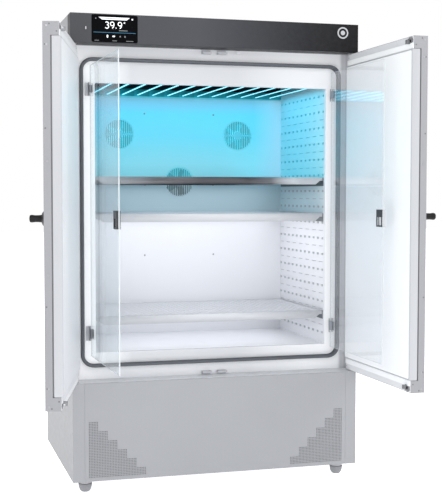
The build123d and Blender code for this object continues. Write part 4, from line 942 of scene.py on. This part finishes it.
for side, door_angle, glass_angle in (
    ("left", LEFT_DOOR_OPEN, LEFT_GLASS_OPEN),
    ("right", RIGHT_DOOR_OPEN, RIGHT_GLASS_OPEN),
):
    on_door = swung(side, DOOR_PIVOT, door_angle)
    on_glass = swung(side, GLASS_PIVOT, glass_angle)
    body = side + "_door"

    liner = Form()
    liner.loft([liner_ring(*step) for step in LINER_STEPS])
    # painted shade on the tray's sides; the inner face stays white
    liner.marks = [1] * (len(liner.marks) - 1) + [0]
    for low_z, high_z in THERMAL_BREAKS:
        liner.block(DOOR_OUTER + 4, DOOR_FREE - 4, RAIL_Y, RAIL_Y + 4, low_z, high_z)
    looks, stands_for = [liner_painted_shades[side], liner_side_painted_shade], [side + "_door_liner"]
    smooth(liner.finish(side + "_door_liner_tray", body, looks, stands_for, on_door), 40)

    plates = Form()
    for flip in (1, -1):
        for x, z, radius in RAIL_SCREWS:
            height = DOOR_MIDDLE + flip * (z - DOOR_MIDDLE)
            plates.lathe(
                head_profile(radius, 0.5, 1.0, 1.1),
                16,
                lambda a, b, h, x=x, height=height: (x + a, RAIL_Y + h, height + b),
            )
        for y, z in EDGE_SCREWS:
            height = DOOR_MIDDLE + flip * (z - DOOR_MIDDLE)
            plates.lathe(
                head_profile(EDGE_SCREW_RADIUS, 0.12, 0.24, 0.26),
                16,
                lambda a, b, h, y=y, height=height: (DOOR_FREE + h, y + a, height + b),
            )
    piece = plates.finish(side + "_door_corner_screws", body, [screw_dark], place=on_door)
    smooth(piece, 30)

    # painted light: light plates over the door rails' inner faces
    facing = Form()
    for low_z, high_z in RAILS:
        for low_x, high_x in ((DOOR_OUTER + 2, LATCH_X - BOLT_ROOM), (LATCH_X + BOLT_ROOM, DOOR_FREE - 2)):
            facing.block(low_x, high_x, RAIL_Y - 0.2, RAIL_Y + 0.5, low_z, high_z)
    bevel(facing.finish(side + "_door_rail_facing", body, [rail_painted_light], place=on_door), 0.3)

    pane = Form()
    pane.block(*PANE_X, *PANE_Y, *PANE_Z)
    body, looks, stands_for = side + "_glass_door", [clear[side], glass_edge], [side + "_glass_pane"]
    piece = pane.finish(side + "_glass_sheet", body, looks, stands_for, on_glass)
    bevel(piece, 0.8)
    for face in piece.data.polygons:
        face.material_index = 0 if face.area > LARGE_FACE else 1

# ---------------- display
low, high = extent("display_screen")
DISPLAY_CORNER, READING_Y, MARK_HEIGHT = 7.0, -417.0, 0.25
rings = []
for inset, y in ((0, -416.0), (0, -416.7), (0.3, READING_Y)):
    across, up = (low.x + inset, high.x - inset), (low.z + inset, high.z - inset)
    rings.append([(x, y, z) for x, z in rounded_rectangle(*across, *up, DISPLAY_CORNER - inset)])
screen = Form()
screen.loft(rings)
screen.block(low.x + 8, high.x - 8, -416, high.y, low.z + 8, high.z - 8)
screen.finish("display_panel", "cabinet", [display_glass], ["display_screen"])

display = Form()
WHITE_MARK, BLUE_MARK, DIM_MARK = 0, 1, 2


def flat(points, thickness=MARK_HEIGHT, mark=WHITE_MARK):
    """A raised plate on the display's face."""
    front = [(x, READING_Y - thickness, z) for x, z in points]
    back = [(x, READING_Y + 0.05, z) for x, z in points]
    display.loft([back, front], mark=mark)


def bar(x, z, width, height, radius, mark=WHITE_MARK, thickness=MARK_HEIGHT):
    across, up = (x - width / 2, x + width / 2), (z - height / 2, z + height / 2)
    flat(rounded_rectangle(*across, *up, radius, 3), thickness, mark)


def arc(x, z, across, up, first, last, steps=14):
    points = []
    for step in range(steps + 1):
        angle = math.radians(first + (last - first) * step / steps)
        points.append((x + across * math.cos(angle), z + up * math.sin(angle)))
    return points


def ribbon(points, width):
    """A raised line of even width through the points."""
    rings = []
    for index, (x, z) in enumerate(points):
        before, after = points[max(index - 1, 0)], points[min(index + 1, len(points) - 1)]
        run, rise = after[0] - before[0], after[1] - before[1]
        half = width / 2 / math.hypot(run, rise)
        left, right = (x - rise * half, z + run * half), (x + rise * half, z - run * half)
        front, back = READING_Y - MARK_HEIGHT, READING_Y + 0.05
        corners = ((front, left), (front, right), (back, right), (back, left))
        rings.append([(u, y, v) for y, (u, v) in corners])
    display.loft(rings)


flat([(-514, 1918), (-384, 1918), (-398, 1908), (-500, 1908)])
bar(-449, 1912.8, 84, 2.6, 1.2, DIM_MARK, 0.3)
bar(-526, 1912, 5, 5, 2, DIM_MARK)
bar(-374, 1912, 6, 6, 2)
bar(-448, 1856, 176, 1.6, 0.7, BLUE_MARK)
bar(-412, 1865, 36, 3, 1.2, DIM_MARK)
ICON_Z, CAPTION_Z = 1841, 1823
for x, width, height in ((-478, 6, 11), (-452, 11, 6)):
    bar(x, ICON_Z, width, height, 2.2)
for x, width, height in ((-425, 6, 6), (-405, 5, 8)):
    bar(x, ICON_Z, width, height, 2.2, DIM_MARK)
for x, width in ((-522, 18), (-448, 20), (-385, 30)):
    bar(x, CAPTION_Z, width, 2.4, 1.0, DIM_MARK)
DIGIT_LOW, DIGIT_HALF, DIGIT_STROKE = 1873.0, 7.6, 3.5
ribbon(arc(-480.0, DIGIT_LOW + 20, DIGIT_HALF - 1.4, 6.0, 150, -90), DIGIT_STROKE)
ribbon(arc(-480.0, DIGIT_LOW + 7, DIGIT_HALF, 7.0, 90, -150), DIGIT_STROKE)
for x in (-458.0, -426.0):
    ribbon(arc(x, DIGIT_LOW + 18.5, DIGIT_HALF, 7.5, 0, 360, 20), DIGIT_STROKE)
    ribbon(arc(x - 3, DIGIT_LOW + 16, DIGIT_HALF + 3, 15.5, 12, -78), DIGIT_STROKE)
bar(-442, DIGIT_LOW + 2, 4, 4, 1.6)
ribbon(arc(-407.0, DIGIT_LOW + 24, 2.6, 2.6, 0, 360, 12), 1.4)
ui_white = glowing("display_white_marks", (0.80, 0.82, 0.84), 0.7)
ui_blue = glowing("display_blue_line", (0.03, 0.16, 0.28), 0.5)
ui_grey = glowing("display_grey_marks", (0.16, 0.17, 0.18), 0.3)
display.finish("display_marks", "cabinet", [ui_white, ui_blue, ui_grey])


# ---------------- service port and baffle screws
low, high = extent("header_port")
middle = (low + high) / 2
port = Form()
for inset, front, mark in ((0.0, low.y + 0.3, 0), (2.6, low.y, 1)):
    half_x, half_z = (high.x - low.x) / 2 - inset, (high.z - low.z) / 2 - inset
    across, up = (middle.x - half_x, middle.x + half_x), (middle.z - half_z, middle.z + half_z)
    outline = rounded_rectangle(*across, *up, half_x - 0.01, 6)
    port.loft([[(x, high.y, z) for x, z in outline], [(x, front, z) for x, z in outline]], mark=mark)
port.finish("service_port_cover", "cabinet", [dark_plastic, port_light], ["header_port"])

BAFFLE_FACE = extent("rear_baffle")[0].y
BAFFLE_SCREWS = ((172, 1580), (170, 1239), (172, 900), (172, 590))
heads = Form()
for x, z in [(side * across, z) for across, z in BAFFLE_SCREWS for side in (-1, 1)]:
    heads.lathe(
        ((TIP, 0.3), (4.2, 0.3), (4.2, -0.8), (3.2, -2.0), (1.4, -2.3), (1.2, -1.5), (TIP, -1.5)),
        18,
        lambda a, b, h, x=x, z=z: (x + a, BAFFLE_FACE + h, z + b),
    )
smooth(heads.finish("baffle_screw_heads", "cabinet", [screw_steel]), 30)

# ---------------- rear sheets
low, high = extent("rear_panel")
inlet_low, inlet_high = extent("mains_inlet")
REAR_SKIN, REAR_JOINT, REAR_SEAM, REAR_MARGIN = 0.8, 640.0, 3.0, 14.0
VENT_COLUMNS, VENT_WIDTH, VENT_HEIGHT = (-300.0, -150.0), 140.0, 7.0
VENT_PITCH, VENT_ROWS, VENT_LOW, INLET_GAP = 18.0, 14, 60.0, 0.4
skin_y = (low.y + high.y) / 2 - 0.25
vents = []
for left in VENT_COLUMNS:
    for row in range(VENT_ROWS):
        half = VENT_HEIGHT / 2
        z = VENT_LOW + row * VENT_PITCH + half
        vents.append(oblong(left + VENT_WIDTH / 2, z, VENT_WIDTH / 2 - half, half))
across = inlet_low.x - INLET_GAP, inlet_high.x + INLET_GAP
up = inlet_low.z - INLET_GAP, inlet_high.z + INLET_GAP
vents.append(rounded_rectangle(*across, *up, 3, 3))
rear = Form()
for bottom, top, holes in ((low.z, REAR_JOINT, vents), (REAR_JOINT + REAR_SEAM, high.z, [])):
    outline = [(low.x, bottom), (high.x, bottom), (high.x, top), (low.x, top)]
    rear.sheet(outline, holes, lambda u, v: (u, skin_y, v))
thicken(rear.finish("rear_sheets", "cabinet", [zinc], ["rear_panel"]), REAR_SKIN)
lining = Form()
lining.block(low.x + 4, high.x - 4, low.y + 0.02, low.y + 0.08, REAR_JOINT - 20, REAR_JOINT + REAR_SEAM + 20)
lining.finish("rear_joint_strip", "cabinet", [filter_grey])
fixings = Form()
EDGE_ROWS, CROSS_ROWS = (40, 330, 600, 680, 985, 1290, 1595, 1900), (16, 622, 662, 1914)
places = [(x, z) for x in (low.x + REAR_MARGIN, high.x - REAR_MARGIN) for z in EDGE_ROWS]
places += [(x, z) for x in (-300, 0, 300) for z in CROSS_ROWS]
for x, z in places:
    fixings.lathe(
        ((TIP, -0.3), (5.0, -0.3), (5.0, 0.1), (3.6, 0.45), (TIP, 0.5)),
        18,
        lambda a, b, h, x=x, z=z: (x + a, skin_y + REAR_SKIN / 2 + h, z + b),
    )
smooth(fixings.finish("rear_sheet_screws", "cabinet", [screw_dark]), 30)

# ---------------- light
def area_lamp(name, place, aim, size, power, colour=(1, 1, 1), height=None):
    data = bpy.data.lights.new(name, "AREA")
    data.energy = power
    data.color = colour
    data.size = size
    if height:
        data.shape = "RECTANGLE"
        data.size_y = height
    lamp = bpy.data.objects.new(name, data)
    lamp.location = place
    direction = Vector(aim) - Vector(place)
    lamp.rotation_euler = direction.to_track_quat("-Z", "Y").to_euler()
    bpy.context.scene.collection.objects.link(lamp)
    return lamp


def down_lamp(name, z, width, depth, power, colour):
    """A lamp inside the chamber, unseen by the camera."""
    lamp = area_lamp(name, (0, -0.01, z), (0, -0.01, 0), width, power, colour, depth)
    lamp.visible_camera = False
    return lamp


down_lamp("lamp_cyan", 1.6605, 0.98, 0.52, 2.5, (0.05, 0.66, 1.0))
down_lamp("lamp_gap", 1.234, 0.90, 0.50, 1.5, (0.70, 0.88, 1.0))
down_lamp("lamp_shelf", 1.088, 0.94, 0.52, 0.78, (0.95, 0.97, 1.0))
down_lamp("lamp_low", 0.636, 0.94, 0.52, 1.1, (0.95, 0.97, 1.0))
area_lamp("softbox_key", (-1.6, -5.2, 3.2), (0, -0.3, 1.1), 2.6, 50.0)
area_lamp("softbox_fill", (3.4, -4.0, 3.4), (0, -0.3, 1.0), 2.6, 48.0)

world = bpy.data.worlds.new("studio")
world.use_nodes = True
bpy.context.scene.world = world
background = world.node_tree.nodes["Background"]
background.inputs["Color"].default_value = (1.0, 1.0, 1.0, 1.0)
background.inputs["Strength"].default_value = 1.0

floor_shade = Shade("studio_floor")
floor_shade.set(
    Base_Color=floor_shade.tint(floor_shade.noise(3.0, 2.0), (0.90, 0.90, 0.91), (0.93, 0.93, 0.94)),
    Roughness=0.7,
    Emission_Color=(1.0, 1.0, 1.0),
    Emission_Strength=0.8,
)
floor_mesh = bpy.data.meshes.new("floor")
FLOOR_Z, FLOOR_HALF = cad_box[0].z, 30
corners = [(x * FLOOR_HALF, y * FLOOR_HALF, FLOOR_Z) for x, y in ((-1, -1), (1, -1), (1, 1), (-1, 1))]
floor_mesh.from_pydata(corners, [], [(0, 1, 2, 3)])
floor_mesh.materials.append(floor_shade.material)
floor = bpy.data.objects.new("floor", floor_mesh)
bpy.context.scene.collection.objects.link(floor)
